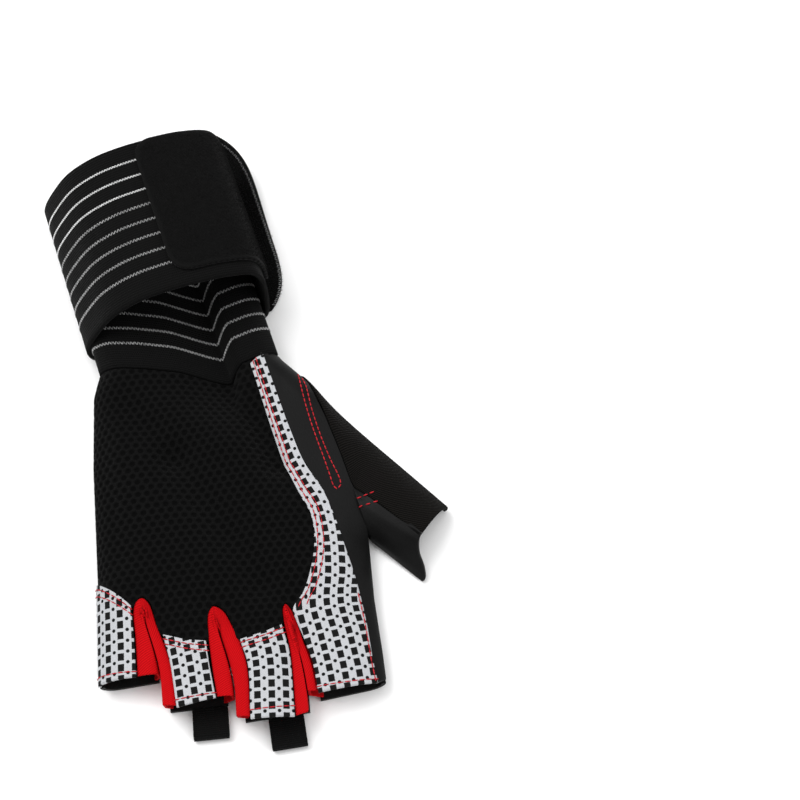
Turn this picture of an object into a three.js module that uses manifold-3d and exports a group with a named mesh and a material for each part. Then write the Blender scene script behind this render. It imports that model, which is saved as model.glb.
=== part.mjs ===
// A half-finger weightlifting glove for the right hand, lying palm down.
// Millimetres, +Z up, +X to the thumb side, +Y to the wrist.
// The origin is on the underside of the palm, where the glove rests.
import * as THREE from 'three';
import { mergeVertices } from 'three/addons/utils/BufferGeometryUtils.js';
import Module from 'manifold-3d';

const wasm = await Module();
wasm.setup();

// Driving sizes of the hand
const handWidth = 102;          // across the knuckles, little finger side to index side
const handLength = 144;         // wrist seam to the longest fingertip hem
const backHeight = 18.5;        // top of the flattened back over the floor
const fingerHeight = 15.5;      // top of a finger panel over the floor
const foldDepth = 4.5;          // deepest dent of the mesh back
const shoulder = 12;            // rounding of the back down to the side
const rimHeight = 5.5;          // how far the palm leather turns up at the sides
const rimRound = 7;             // rounding of that turned-up rim

// Walls and clearances
const leatherWall = 1.6;
const meshWall = 1.6;
const panelWall = 1.2;
const gussetWall = 1.5;         // measured level, the stretch fabric itself is about 1.1
const elasticWall = 1.8;
const pileWall = 1.4;
const seamGap = 0.4;
const curveGap = 0.7;           // along the bent edge of the mesh, where facets cut the corners

// Thumb
const thumbTurn = THREE.MathUtils.degToRad(48);   // turn of the thumb away from straight across
const thumbLength = 93;         // wrist corner to the open end
const thumbWidth = 29;
const thumbHeight = 15.5;

// Wrist strap, one long band wound about twice
const bandWidth = 68;
const wristHeight = 20.5;       // top of the first turn over the floor
const wrapHeight = 46;          // top of the loose outer turn over the floor
const wrapTurn = THREE.MathUtils.degToRad(13);    // how far the band leans off the hand's axis
const wrapSetback = 7.5;         // lower edge of the outer turn, back from the first turn's
const pileWidth = 62;           // loop patch across the band
const hookReach = 14.5;         // how far the hook tab stands out beside the wrap
const hookLength = 80;
const hookLift = 13;            // rise of the hook tab's free corner
const hookSetback = 4.1;        // lower edge of the hook tab, back from the outer turn's
const patchCorner = 6;          // rounding of the loop patch
const patchMargin = 5.4;        // lower edge of the band to the loop patch

// Pull tabs
const pullWidth = 12.6;
const pullLength = 11.5;
const pullHeight = 4.2;
const pullSeam = 3.15;          // top of the loop where it is sewn in
const tapeWall = 1.1;

const RIGHT_ANGLE = Math.PI / 2;
const sideHeight = rimHeight + seamGap;

// Outlines seen from above: across is a share of handWidth, along a share of handLength
const [ACROSS, ALONG, TOP] = [0, 1, 2];
const leftContour = [
  // across, along
  [-0.402, 0.388], [-0.430, 0.319], [-0.441, 0.111], [-0.438, -0.208], [-0.445, -0.590],
];
const rightContour = [
  [0.292, 0.390], [0.309, 0.372], [0.362, 0.331], [0.535, 0.188], [0.704, 0.042],
  [0.640, -0.056], [0.590, -0.111], [0.561, -0.153], [0.559, -0.326], [0.569, -0.465],
  [0.573, -0.600],
];
const wristSeam = [
  // across, along, top as a share of wristHeight
  [-0.402, 0.379, 0.90], [-0.333, 0.372, 0.91], [-0.227, 0.360, 0.93], [-0.091, 0.349, 0.78],
  [0.033, 0.330, 0.50], [0.085, 0.323, 0.42], [0.106, 0.324, 0.47], [0.126, 0.336, 0.78],
  [0.150, 0.349, 0.92], [0.180, 0.354, 0.95], [0.215, 0.362, 0.96], [0.250, 0.373, 0.96],
  [0.292, 0.387, 0.94],
];
const knuckleLine = [
  // across, along: the three steep dips are the peaks of the gussets
  [-0.437, -0.214], [-0.363, -0.260], [-0.306, -0.300], [-0.290, -0.284], [-0.271, -0.276],
  [-0.245, -0.290], [-0.230, -0.330], [-0.210, -0.376], [-0.123, -0.400], [-0.050, -0.409],
  [-0.042, -0.345], [-0.018, -0.317], [0.020, -0.333], [0.045, -0.375], [0.062, -0.412],
  [0.152, -0.401], [0.219, -0.382], [0.224, -0.340], [0.238, -0.328], [0.262, -0.346],
];
const stripInner = [
  [0.179, 0.348], [0.216, 0.238], [0.250, 0.133], [0.287, 0.028], [0.324, -0.045],
  [0.357, -0.101], [0.362, -0.171], [0.344, -0.238], [0.308, -0.303], [0.264, -0.346],
  [0.290, -0.419], [0.315, -0.487], [0.326, -0.568],
];
const stripInnerMeshRows = 10;  // rows of stripInner that the mesh follows
const stripOuter = [
  [0.225, 0.375], [0.264, 0.265], [0.307, 0.143], [0.351, 0.041], [0.405, -0.031],
  [0.442, -0.116], [0.468, -0.199], [0.493, -0.280], [0.515, -0.390], [0.525, -0.494],
  [0.534, -0.552],
];
const thumbSeam = [
  [0.352, 0.331], [0.385, 0.300], [0.440, 0.180], [0.483, 0.070], [0.510, -0.010],
  [0.520, -0.030], [0.538, -0.090], [0.5605, -0.155], [0.5585, -0.326], [0.568, -0.465],
  [0.572, -0.538],
];
const thumbSeamKnitRows = 6;    // rows of thumbSeam that the knit follows
const leatherEdge = [[0.291, 0.389], [0.309, 0.372], [0.347, 0.340], ...thumbSeam];

// Finger panels: inner and outer edge as across, along pairs from knuckle to hem
const fingerPanels = {
  little_panel: {
    left: [[-0.438, -0.216], [-0.440, -0.330], [-0.443, -0.482]],
    right: [[-0.308, -0.302], [-0.304, -0.380], [-0.302, -0.481]],
    top: [[-0.438, -0.216], [-0.363, -0.262], [-0.308, -0.302]],
    leftShoulder: true,
  },
  ring_panel: {
    left: [[-0.207, -0.379], [-0.186, -0.450], [-0.170, -0.572]],
    right: [[-0.050, -0.412], [-0.042, -0.480], [-0.028, -0.556]],
    top: [[-0.207, -0.379], [-0.123, -0.403], [-0.050, -0.412]],
  },
  middle_panel: {
    left: [[0.064, -0.416], [0.086, -0.480], [0.083, -0.620]],
    right: [[0.219, -0.386], [0.238, -0.450], [0.240, -0.622]],
    top: [[0.064, -0.416], [0.152, -0.404], [0.219, -0.386]],
  },
};

// Gussets: upper edge follows the finger panels, lower edge stands on the palm leather,
// and rolls are how far the left and the right leg bulge over the gap, in millimetres
const gussets = [
  {
    upper: [[-0.300, -0.478], [-0.302, -0.380], [-0.303, -0.310], [-0.292, -0.288], [-0.271, -0.280],
      [-0.249, -0.294], [-0.226, -0.350], [-0.196, -0.418], [-0.176, -0.480], [-0.170, -0.565]],
    lower: [[-0.244, -0.470], [-0.244, -0.440], [-0.243, -0.405], [-0.236, -0.385], [-0.222, -0.378],
      [-0.211, -0.385], [-0.203, -0.405], [-0.199, -0.440], [-0.197, -0.480], [-0.197, -0.548]],
    rolls: [0.9, 3.2],
  },
  {
    upper: [[-0.026, -0.552], [-0.037, -0.470], [-0.043, -0.370], [-0.036, -0.334], [-0.018, -0.321],
      [0.014, -0.334], [0.040, -0.370], [0.069, -0.425], [0.086, -0.490], [0.084, -0.612]],
    lower: [[-0.004, -0.548], [0.000, -0.500], [0.004, -0.455], [0.013, -0.432], [0.028, -0.424],
      [0.044, -0.432], [0.055, -0.455], [0.062, -0.490], [0.064, -0.530], [0.066, -0.592]],
    rolls: [2.4, 3.5],
  },
  {
    upper: [[0.242, -0.618], [0.240, -0.450], [0.226, -0.366], [0.228, -0.340], [0.238, -0.331],
      [0.256, -0.346], [0.272, -0.375], [0.288, -0.425], [0.310, -0.487], [0.322, -0.560]],
    lower: [[0.284, -0.586], [0.285, -0.530], [0.288, -0.480], [0.297, -0.450], [0.309, -0.441],
      [0.321, -0.450], [0.330, -0.470], [0.334, -0.500], [0.337, -0.530], [0.337, -0.558]],
    rolls: [2.5, 1.6],
  },
];

// Fingertip hems of the palm leather with the slits between the fingers
const palmCut = [
  [-0.60, -0.492], [-0.238, -0.474], [-0.239, -0.412], [-0.222, -0.390], [-0.205, -0.412],
  [-0.203, -0.555], [0.002, -0.552], [0.006, -0.462], [0.028, -0.438], [0.057, -0.462],
  [0.060, -0.600], [0.290, -0.591], [0.292, -0.482], [0.309, -0.455], [0.327, -0.482],
  [0.331, -0.564], [0.70, -0.534], [0.70, -0.80], [-0.60, -0.80],
];

// Dents and ridges of the mesh back: a line from start to end, width and depth as shares
const folds = [
  // across, along, across, along, width of handWidth, depth of foldDepth
  [-0.30, 0.28, -0.13, 0.10, 0.055, 0.55],
  [-0.13, 0.10, 0.15, -0.27, 0.062, 0.80],
  [-0.16, 0.26, 0.06, 0.12, 0.070, -0.35],
  [0.06, 0.12, 0.24, -0.06, 0.060, -0.30],
  [0.13, 0.30, 0.25, 0.05, 0.045, 0.95],
  [-0.40, 0.16, -0.34, -0.16, 0.045, 0.25],
];
const fingerGaps = [-0.240, 0.018, 0.275];   // across, middle of each gap between fingers
const gapWidth = 0.06;          // of handWidth
const gapDepth = 0.17;          // of fingerHeight
const knuckles = [-0.20, -0.42];  // along, where the back falls to the fingers
const bow = [0.02, 0.42, 0.16];   // middle and half width across, drop as a share of the height
const seamReach = 0.17;         // along, how far the wrist's shape reaches down the back

// Plain helpers
const mix = (a, b, t) => a + (b - a) * t;
const clamp01 = (t) => Math.min(1, Math.max(0, t));
const smooth = (a, b, t) => {
  const s = clamp01((t - a) / (b - a));
  return s * s * (3 - 2 * s);
};
const range = (n) => Array.from({ length: n + 1 }, (_, i) => i / n);
const place = (row) => new THREE.Vector2(row[ACROSS] * handWidth, row[ALONG] * handLength);

// A smooth curve through the rows of a table, in millimetres
function curveThrough(rows) {
  const points = rows.map((row) => new THREE.Vector3(place(row).x, place(row).y, 0));
  const curve = new THREE.CatmullRomCurve3(points, false, 'centripetal');
  return (t) => {
    const p = curve.getPoint(clamp01(t));
    return new THREE.Vector2(p.x, p.y);
  };
}

// The value in one column of a table at a given value of another column
function lookUp(rows, keyColumn, keyScale, valueColumn, valueScale, key) {
  const sorted = [...rows].sort((a, b) => a[keyColumn] - b[keyColumn]);
  const k = key / keyScale;
  let i = 0;
  while (i < sorted.length - 2 && k > sorted[i + 1][keyColumn]) i += 1;
  const from = sorted[i];
  const to = sorted[i + 1];
  const share = clamp01((k - from[keyColumn]) / (to[keyColumn] - from[keyColumn]));
  return mix(from[valueColumn], to[valueColumn], share) * valueScale;
}
const leftAt = (y) => lookUp(leftContour, ALONG, handLength, ACROSS, handWidth, y);
const rightAt = (y) => lookUp(rightContour, ALONG, handLength, ACROSS, handWidth, y);
const seamCurve = curveThrough(wristSeam);
const seamSamples = range(120).map((t) => seamCurve(t));
function seamAlong(x) {
  const i = seamSamples.findIndex((p) => p.x >= x);
  if (i < 0) return seamSamples[seamSamples.length - 1].y;
  if (i === 0) return seamSamples[0].y;
  const from = seamSamples[i - 1];
  const to = seamSamples[i];
  return mix(from.y, to.y, (x - from.x) / (to.x - from.x));
}
const seamTop = (x) => lookUp(wristSeam, ACROSS, handWidth, TOP, wristHeight, x);
const quarter = (d) => Math.sqrt(1 - (1 - clamp01(d / shoulder)) ** 2);

function distanceToFold(x, y, fold) {
  const from = place([fold[0], fold[1]]);
  const to = place([fold[2], fold[3]]);
  const along = to.clone().sub(from);
  const share = clamp01(new THREE.Vector2(x, y).sub(from).dot(along) / along.lengthSq());
  return new THREE.Vector2(x, y).distanceTo(from.add(along.multiplyScalar(share)));
}

// Height of the back of the glove over the floor
function backTop(x, y) {
  const [middle, half, drop] = bow;
  const towards = smooth(knuckles[0], knuckles[1], y / handLength);
  let z = mix(backHeight, fingerHeight, towards) * (1 - drop * ((x / handWidth - middle) / half) ** 2);
  for (const fold of folds) {
    const share = distanceToFold(x, y, fold) / (fold[4] * handWidth);
    z -= fold[5] * foldDepth * Math.exp(-share * share);
  }
  for (const gap of fingerGaps) {
    const share = (x / handWidth - gap) / gapWidth;
    z -= gapDepth * fingerHeight * towards * Math.exp(-share * share);
  }
  const toSeam = smooth(seamReach, 0, (seamAlong(x) - y) / handLength);
  return mix(z, seamTop(x), toSeam);
}
function backZ(x, y) {
  const rounding = quarter(x - leftAt(y)) * quarter(rightAt(y) - x);
  return sideHeight + (backTop(x, y) - sideHeight) * rounding;
}
const onBack = (p) => new THREE.Vector3(p.x, p.y, backZ(p.x, p.y));
const belowSeam = (p) => new THREE.Vector2(p.x, Math.min(p.y, seamAlong(p.x) - seamGap));

// A closed solid between an outer grid of points and its copy pushed in by a wall
function sheet(columns, rows, pointAt, wall, pushAt = null) {
  const outer = rows.map((q) => columns.map((p) => pointAt(p, q)));
  const inner = outer.map((line, i) => line.map((point, j) => {
    if (pushAt) return point.clone().addScaledVector(pushAt(columns[j], rows[i]), wall);
    const across = slope(line, j);
    const along = slope(outer.map((other) => other[j]), i);
    return point.clone().addScaledVector(across.cross(along).normalize(), -wall);
  }));
  return closedGrid(outer, inner);
}

// Direction of a row of points at one of them, true to a curve's bend at its two ends
function slope(points, i) {
  const last = points.length - 1;
  if (i > 0 && i < last) return points[i + 1].clone().sub(points[i - 1]);
  const step = i === 0 ? 1 : -1;
  const far = points[i + 2 * step] ?? points[i + step];
  return points[i + step].clone().multiplyScalar(4).sub(far).addScaledVector(points[i], -3)
    .multiplyScalar(step);
}
const clampIndex = (i, n) => Math.min(n - 1, Math.max(0, i));

function closedGrid(outer, inner) {
  const n = outer.length;
  const m = outer[0].length;
  const positions = [];
  for (const layer of [outer, inner]) {
    for (const line of layer) line.forEach((p) => positions.push(p.x, p.y, p.z));
  }
  const top = (i, j) => i * m + j;
  const low = (i, j) => n * m + i * m + j;
  const index = [];
  const quad = (a, b, c, d) => index.push(a, b, c, a, c, d);
  for (let i = 0; i < n - 1; i += 1) {
    for (let j = 0; j < m - 1; j += 1) {
      quad(top(i, j), top(i, j + 1), top(i + 1, j + 1), top(i + 1, j));
      quad(low(i, j), low(i + 1, j), low(i + 1, j + 1), low(i, j + 1));
    }
    quad(top(i, 0), top(i + 1, 0), low(i + 1, 0), low(i, 0));
    quad(top(i, m - 1), low(i, m - 1), low(i + 1, m - 1), top(i + 1, m - 1));
  }
  for (let j = 0; j < m - 1; j += 1) {
    quad(top(0, j), low(0, j), low(0, j + 1), top(0, j + 1));
    quad(top(n - 1, j), top(n - 1, j + 1), low(n - 1, j + 1), low(n - 1, j));
  }
  const geometry = new THREE.BufferGeometry();
  geometry.setAttribute('position', new THREE.Float32BufferAttribute(positions, 3));
  geometry.setIndex(index);
  if (volumeOf(geometry) < 0) geometry.index.array.reverse();
  geometry.computeVertexNormals();
  return geometry;
}

function volumeOf(geometry) {
  const points = geometry.attributes.position;
  const a = new THREE.Vector3();
  const b = new THREE.Vector3();
  const c = new THREE.Vector3();
  let sum = 0;
  for (let i = 0; i < geometry.index.count; i += 3) {
    a.fromBufferAttribute(points, geometry.index.getX(i));
    b.fromBufferAttribute(points, geometry.index.getX(i + 1));
    c.fromBufferAttribute(points, geometry.index.getX(i + 2));
    sum += a.dot(b.cross(c));
  }
  return sum / 6;
}

// Patch of the plane between four edge curves
function patch(low, high, left, right) {
  return (p, q) => {
    const across = low(p).multiplyScalar(1 - q).add(high(p).multiplyScalar(q));
    const along = left(q).multiplyScalar(1 - p).add(right(q).multiplyScalar(p));
    const corners = low(0).multiplyScalar((1 - p) * (1 - q)).add(low(1).multiplyScalar(p * (1 - q)))
      .add(high(0).multiplyScalar((1 - p) * q)).add(high(1).multiplyScalar(p * q));
    return across.add(along).sub(corners);
  };
}
const straight = (a, b) => (t) => a.clone().lerp(b, t);

// Columns that crowd towards a rounded side
function crowded(count, width, leftSide, rightSide) {
  const reach = Math.min(0.45, shoulder / width);
  const turns = 4;
  const bend = range(turns).map((t) => reach * (1 - Math.cos(t * RIGHT_ANGLE)));
  const from = leftSide ? bend : [0];
  const to = rightSide ? bend.map((s) => 1 - s).reverse() : [1];
  const start = from[from.length - 1];
  const end = to[0];
  const middle = range(count).slice(1, -1).map((t) => mix(start, end, t));
  return [...from, ...middle, ...to];
}

// Back mesh between the knuckle line, the wrist seam, the side and the strip
function backMesh() {
  const low = curveThrough(knuckleLine);
  const right = curveThrough(stripInner.slice(0, stripInnerMeshRows));
  const left = (q) => {
    const y = mix(low(0).y, seamCurve(0).y - seamGap, q);
    return new THREE.Vector2(leftAt(y), y);
  };
  const width = low(1).x - low(0).x;
  const high = (p) => {
    const x = mix(left(1).x, right(0).x - curveGap, (low(p).x - low(0).x) / width);
    return new THREE.Vector2(x, seamAlong(x) - seamGap);
  };
  const plan = patch(low, high, left, (q) => right(1 - q).sub(new THREE.Vector2(curveGap, 0)));
  const columns = crowded(28, width, true, false);
  return sheet(columns, range(15), (p, q) => onBack(belowSeam(plan(p, q))), meshWall);
}

function fingerPanel(panel) {
  const left = curveThrough(panel.left);
  const right = curveThrough(panel.right);
  const knuckle = curveThrough(panel.top);
  const plan = patch(straight(left(1), right(1)), knuckle, (q) => left(1 - q), (q) => right(1 - q));
  const width = right(1).x - left(1).x;
  const columns = panel.leftShoulder ? crowded(4, width, true, false) : range(6);
  const rowInset = seamGap / (left(0).distanceTo(left(1)));
  const gap = panel.leftShoulder ? 0 : seamGap / width;
  const pointAt = (p, q) => onBack(plan(mix(gap, 1 - seamGap / width, p), q * (1 - 1.5 * rowInset)));
  return sheet(columns, range(7), pointAt, panelWall);
}

// Index panel with its long strip up to the wrist
function indexPanel() {
  const left = curveThrough(stripInner);
  const right = curveThrough(stripOuter);
  const plan = patch(straight(left(1), right(1)), straight(left(0), right(0)),
    (q) => left(1 - q), (q) => right(1 - q));
  const pointAt = (p, q) => {
    const point = plan(p, mix(0, 0.995, q));
    const width = plan(1, q).distanceTo(plan(0, q));
    return onBack(belowSeam(point.lerp(plan(0.5, q), seamGap / width)));
  };
  return sheet(range(6), range(30), pointAt, panelWall);
}

// Leather between the strip and the thumb, running down the index finger's side
function sideLeather() {
  const left = curveThrough(stripOuter);
  const right = (t) => {
    const y = mix(place(wristSeam.at(-1)).y - seamGap, place(thumbSeam.at(-1)).y, t);
    const x = lookUp(leatherEdge, ALONG, handLength, ACROSS, handWidth, y);
    return new THREE.Vector2(x - curveGap / 2, y);
  };
  const leftRow = (t) => {
    const point = left(t);
    return new THREE.Vector2(point.x + seamGap, point.y);
  };
  const bend = range(5).map((t) => Math.sin(t * RIGHT_ANGLE));
  const pointAt = (p, q) => {
    const point = belowSeam(leftRow(q).lerp(right(q), p));
    point.x = Math.min(point.x, rightAt(point.y));
    return onBack(point);
  };
  return sheet([0, 0.25, 0.45, ...bend.slice(2)], range(26), pointAt, -leatherWall);
}

// The thumb's own frame: reach along the thumb, side across it, from the wrist corner
const thumbCorner = place([0.309, 0.372]);
const thumbAxis = new THREE.Vector2(Math.cos(thumbTurn), -Math.sin(thumbTurn));
const thumbSide = new THREE.Vector2(Math.sin(thumbTurn), Math.cos(thumbTurn));
const onThumb = (reach, side) => thumbCorner.clone()
  .addScaledVector(thumbAxis, reach * thumbLength).addScaledVector(thumbSide, -side * thumbWidth);

// Ridge of the thumb: along the seam with the hand, then out to the open end, as reach and side
const thumbRidgeBend = [0.730, 0.735];
const thumbRidgeEnd = [0.960, 0.700];
const thumbFoot = [[0.095, 0.000], [0.930, 0.050]];
function thumbRidge(t) {
  const bendAt = 0.5;
  const seam = curveThrough(thumbSeam.slice(0, thumbSeamKnitRows));
  if (t < bendAt) {
    const point = seam(t / bendAt);
    return new THREE.Vector3(point.x + curveGap, point.y + seamGap / 2, backZ(point.x, point.y));
  }
  const share = (t - bendAt) / (1 - bendAt);
  const from = seam(1);
  const end = onThumb(...thumbRidgeEnd);
  const middle = onThumb(...thumbRidgeBend);
  const point = new THREE.QuadraticBezierCurve(from, middle, end).getPoint(share);
  const z = mix(backZ(from.x, from.y), thumbHeight, smooth(0, 0.4, share));
  return new THREE.Vector3(point.x + curveGap * (1 - share), point.y + seamGap / 2, z);
}
const thumbLow = rimHeight / 2;

// Straight joint of the palm leather and the thumb leather, from the crotch to the wrist
const palmJoint = [place([0.561, -0.153]), place([0.289, 0.383])];
function jointReach(side) {
  const [from, to] = palmJoint.map((point) => {
    const offset = point.clone().sub(thumbCorner);
    return [offset.dot(thumbAxis) / thumbLength, -offset.dot(thumbSide) / thumbWidth];
  });
  return mix(from[0], to[0], (side - from[1]) / (to[1] - from[1])) + 0.5 * seamGap / thumbLength;
}

function thumbKnit() {
  const foot = (t) => {
    const [start, end] = thumbFoot;
    const point = onThumb(mix(start[0], end[0], t), mix(start[1], end[1], t));
    return new THREE.Vector3(point.x, point.y, thumbLow + seamGap);
  };
  const pointAt = (p, q) => {
    const top = thumbRidge(q);
    const low = foot(q);
    const angle = p * RIGHT_ANGLE;
    return new THREE.Vector3(mix(top.x, low.x, Math.sin(angle)), mix(top.y, low.y, Math.sin(angle)),
      mix(low.z, top.z, Math.cos(angle)));
  };
  return sheet(range(6), range(18), pointAt, -leatherWall);
}

// Thumb leather: down the front from the knit, then under the thumb to its far side
const thumbSection = [
  // base side, end side, base height, end height, base reach, end reach
  [0.784, 0.70, 1.00, 1.00, 0.617, 0.960], [0.885, 0.775, 0.97, 0.93, 0.668, 0.966],
  [0.980, 0.86, 0.85, 0.66, 0.722, 0.990], [1.045, 0.925, 0.62, 0.38, 0.766, 1.036],
  [1.075, 0.985, 0.40, 0.18, 0.790, 1.060], [1.060, 1.02, 0.12, 0.05, 0.795, 1.056],
  [0.98, 0.95, 0.00, 0.00, 0.000, 1.025], [0.60, 0.66, 0.00, 0.00, 0.000, 0.900],
  [0.30, 0.38, 0.00, 0.00, 0.000, 0.880], [0.10, 0.16, 0.00, 0.00, 0.000, 0.890],
  [0.02, 0.07, 0.04, 0.04, 0.060, 0.920], [0.00, 0.05, 0.13, 0.13, 0.060, 0.930],
].map((row) => (row[2] > 0 ? row : row.with(4, jointReach(row[0]))));
function thumbLeather() {
  const section = (t) => {
    const i = Math.min(thumbSection.length - 2, Math.floor(t * (thumbSection.length - 1)));
    const share = t * (thumbSection.length - 1) - i;
    return thumbSection[i].map((value, k) => mix(value, thumbSection[i + 1][k], share));
  };
  const pointAt = (p, q) => {
    const [side, endSide, height, endHeight, reach, endReach] = section(p);
    const plain = onThumb(mix(reach, endReach, q), mix(side, endSide, q));
    const low = new THREE.Vector3(plain.x, plain.y, mix(height, endHeight, q) * thumbHeight);
    const ridge = thumbRidge(mix(0.5, 1, q));
    ridge.sub(new THREE.Vector3(thumbSide.x, thumbSide.y, 0).multiplyScalar(1.5 * seamGap));
    return low.lerp(ridge, clamp01(1 - p * (thumbSection.length - 1)));
  };
  return sheet(range(thumbSection.length - 1), range(7), pointAt, leatherWall);
}

// Palm leather: a flat tray with turned-up sides, cut into four finger flaps
const palmEnd = -0.62;          // along, past the longest flap
const crotchBlend = 5;          // either side of the thumb's crotch, where the side turns up
function palmLeather() {
  const bend = range(4).map((t) => Math.sin(t * RIGHT_ANGLE));
  const columns = [...bend.map((s) => -s).reverse(), ...range(4).slice(1, -1), ...bend.map((s) => 1 + s)];
  const [corner, top] = palmJoint;
  const edgeAt = (y) => (y < corner.y ? rightAt(y) : mix(corner.x, top.x, (y - corner.y) / (top.y - corner.y)));
  const last = top.y;
  const first = place([0, palmEnd]).y;
  const pointAt = (p, q) => {
    const y = mix(first, last, q);
    const left = leftAt(y);
    const right = edgeAt(y) - seamGap;
    const rise = smooth(corner.y + crotchBlend, corner.y - crotchBlend, y);
    const turn = Math.max(-p, p - 1, 0);
    const lift = rimHeight * (1 - Math.sqrt(1 - turn * turn));
    if (p < 0) return new THREE.Vector3(left + rimRound * (1 - turn), y, lift);
    if (p > 1) return new THREE.Vector3(right - rimRound * (1 - turn), y, rise * lift);
    return new THREE.Vector3(mix(left + rimRound, right - rimRound, p), y, 0);
  };
  const tray = sheet(columns, range(16), pointAt, -leatherWall);
  const cut = new THREE.ExtrudeGeometry(new THREE.Shape(palmCut.map(place)), {
    depth: 4 * rimHeight, bevelEnabled: false,
  });
  cut.translate(0, 0, -2 * rimHeight);
  return fromManifold(toManifold(tray).subtract(toManifold(cut)));
}

function toManifold(geometry) {
  const bare = geometry.clone();
  bare.deleteAttribute('normal');
  bare.deleteAttribute('uv');
  const merged = mergeVertices(bare, 1e-4);
  return new wasm.Manifold(new wasm.Mesh({
    numProp: 3,
    vertProperties: new Float32Array(merged.attributes.position.array),
    triVerts: new Uint32Array(merged.index.array),
  }));
}

function fromManifold(solid) {
  const mesh = solid.getMesh();
  const geometry = new THREE.BufferGeometry();
  geometry.setAttribute('position', new THREE.BufferAttribute(mesh.vertProperties, 3));
  geometry.setIndex(new THREE.BufferAttribute(mesh.triVerts, 1));
  geometry.computeVertexNormals();
  return geometry;
}

// A gusset: one folded strip around the gap between two fingers
const peakShares = [0.15, 0.40, 0.50, 0.75];  // along the gusset: left leg, peak, right leg
const rollFall = 1.4;           // how late the rolled leg falls from its upper edge
function gusset({ upper, lower, rolls }) {
  const upperEdge = curveThrough(upper);
  const lowerEdge = curveThrough(lower);
  const tuck = meshWall + seamGap;
  const foot = leatherWall + seamGap;
  const step = 0.02;
  const [leftFull, leftStart, rightStart, rightFull] = peakShares;
  const roll = (q) => rolls[0] * smooth(leftStart, leftFull, q) + rolls[1] * smooth(rightStart, rightFull, q);
  const pointAt = (p, q) => {
    const top = upperEdge(q);
    const low = lowerEdge(q);
    const side = outward(q).multiplyScalar(-Math.sin(p * Math.PI) * roll(q));
    return new THREE.Vector3(mix(top.x, low.x, p) + side.x, mix(top.y, low.y, p) + side.y,
      mix(backZ(top.x, top.y) - tuck, foot, p ** rollFall));
  };
  const outward = (q) => {
    const along = lowerEdge(q + step).sub(lowerEdge(q - step)).normalize();
    return new THREE.Vector3(-along.y, along.x, 0);
  };
  return sheet(range(7), range(22), pointAt, gussetWall, (p, q) => outward(q));
}

// Wrist strap: its section is a spiral seen along the band's own axis
const bandAcross = new THREE.Vector2(Math.cos(wrapTurn), Math.sin(wrapTurn));
const bandAxis = new THREE.Vector2(-Math.sin(wrapTurn), Math.cos(wrapTurn));
const layer = elasticWall + seamGap;
const floorLayer = elasticWall / 2;
const toBand = (x, y, z) => new THREE.Vector3(
  x * bandAcross.x + y * bandAcross.y, x * bandAxis.x + y * bandAxis.y, z);

function firstTurn() {
  const half = elasticWall / 2;
  const right = place(wristSeam.at(-1)).x;
  const left = place(wristSeam[0]).x;
  const bend = [0.2, 0.45, 0.7, 1].map((t) => shoulder * (1 - Math.cos(t * RIGHT_ANGLE)) + half);
  const middle = range(14).slice(1, -1).map((t) => mix(right - shoulder - half, left + shoulder + half, t));
  const across = [...bend.map((d) => right - d), ...middle, ...bend.map((d) => left + d).reverse()];
  return across.map((x) => {
    const y = seamAlong(x);
    return toBand(x, y + seamGap, backZ(x, y - seamGap) - half);
  });
}

// Rows after the first turn: place across between the first turn's sides, height, lower edge
const wrapRows = [
  // share across, extra layers out, height as a share of wrapHeight, share of wrapSetback
  [0.000, 0.0, 0.150, 0.05], [0.025, 0.0, 0.092, 0.10], [0.100, 0.0, 0.067, 0.20],
  [0.450, 0.0, 0.067, 0.60], [0.800, 0.0, 0.067, 0.90], [0.950, 0.0, 0.067, 0.97],
  [1.000, 0.7, 0.095, 1.00], [1.000, 1.4, 0.200, 1.00], [1.000, 1.6, 0.350, 1.00],
  [1.000, 1.6, 0.520, 1.00], [1.000, 1.2, 0.720, 1.00], [0.960, 1.0, 0.870, 1.00],
  [0.850, 0.0, 0.960, 1.00], [0.690, 0.0, 0.980, 1.05], [0.510, 0.0, 0.950, 1.20],
  [0.330, 0.0, 0.860, 1.40], [0.165, 0.0, 0.700, 1.55], [0.050, 0.0, 0.480, 1.65],
  [0.000, -0.8, 0.270, 1.70], [0.000, -1.15, 0.140, 1.70], [0.000, -0.3, 0.040, 1.65],
  [0.060, 0.0, 0.0, 1.55], [0.400, 0.0, 0.0, 1.30], [0.800, 0.0, 0.0, 1.05], [1.000, 0.0, 0.0, 1.00],
];
const tuckRows = [
  // share back from the first turn's right end, height in layers
  [0.16, 2.95], [0.06, 3.15],
];
function strapPath() {
  const turn = firstTurn();
  const first = turn[0];
  const last = turn.at(-1);
  const span = first.x - last.x;
  const tuck = tuckRows.map(([share, layers]) => new THREE.Vector3(
    first.x - share * span, first.y, layers * layer - floorLayer));
  const rest = wrapRows.map(([share, out, height, back]) => {
    const z = Math.max(height * wrapHeight, height > 0.05 ? floorLayer + layer : floorLayer);
    return new THREE.Vector3(last.x + share * span + out * layer, last.y + back * wrapSetback, z);
  });
  return new THREE.CatmullRomCurve3([...tuck, ...turn, ...rest], false, 'centripetal');
}
const strapCurve = strapPath();
const strapPitch = 4;           // length of one facet of the band
const strapSteps = Math.round(strapCurve.getLength() / strapPitch);
const strapPoints = strapCurve.getSpacedPoints(strapSteps);
const fromBand = (u, w, z) => new THREE.Vector3(
  u * bandAcross.x + w * bandAxis.x, u * bandAcross.y + w * bandAxis.y, z);

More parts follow.
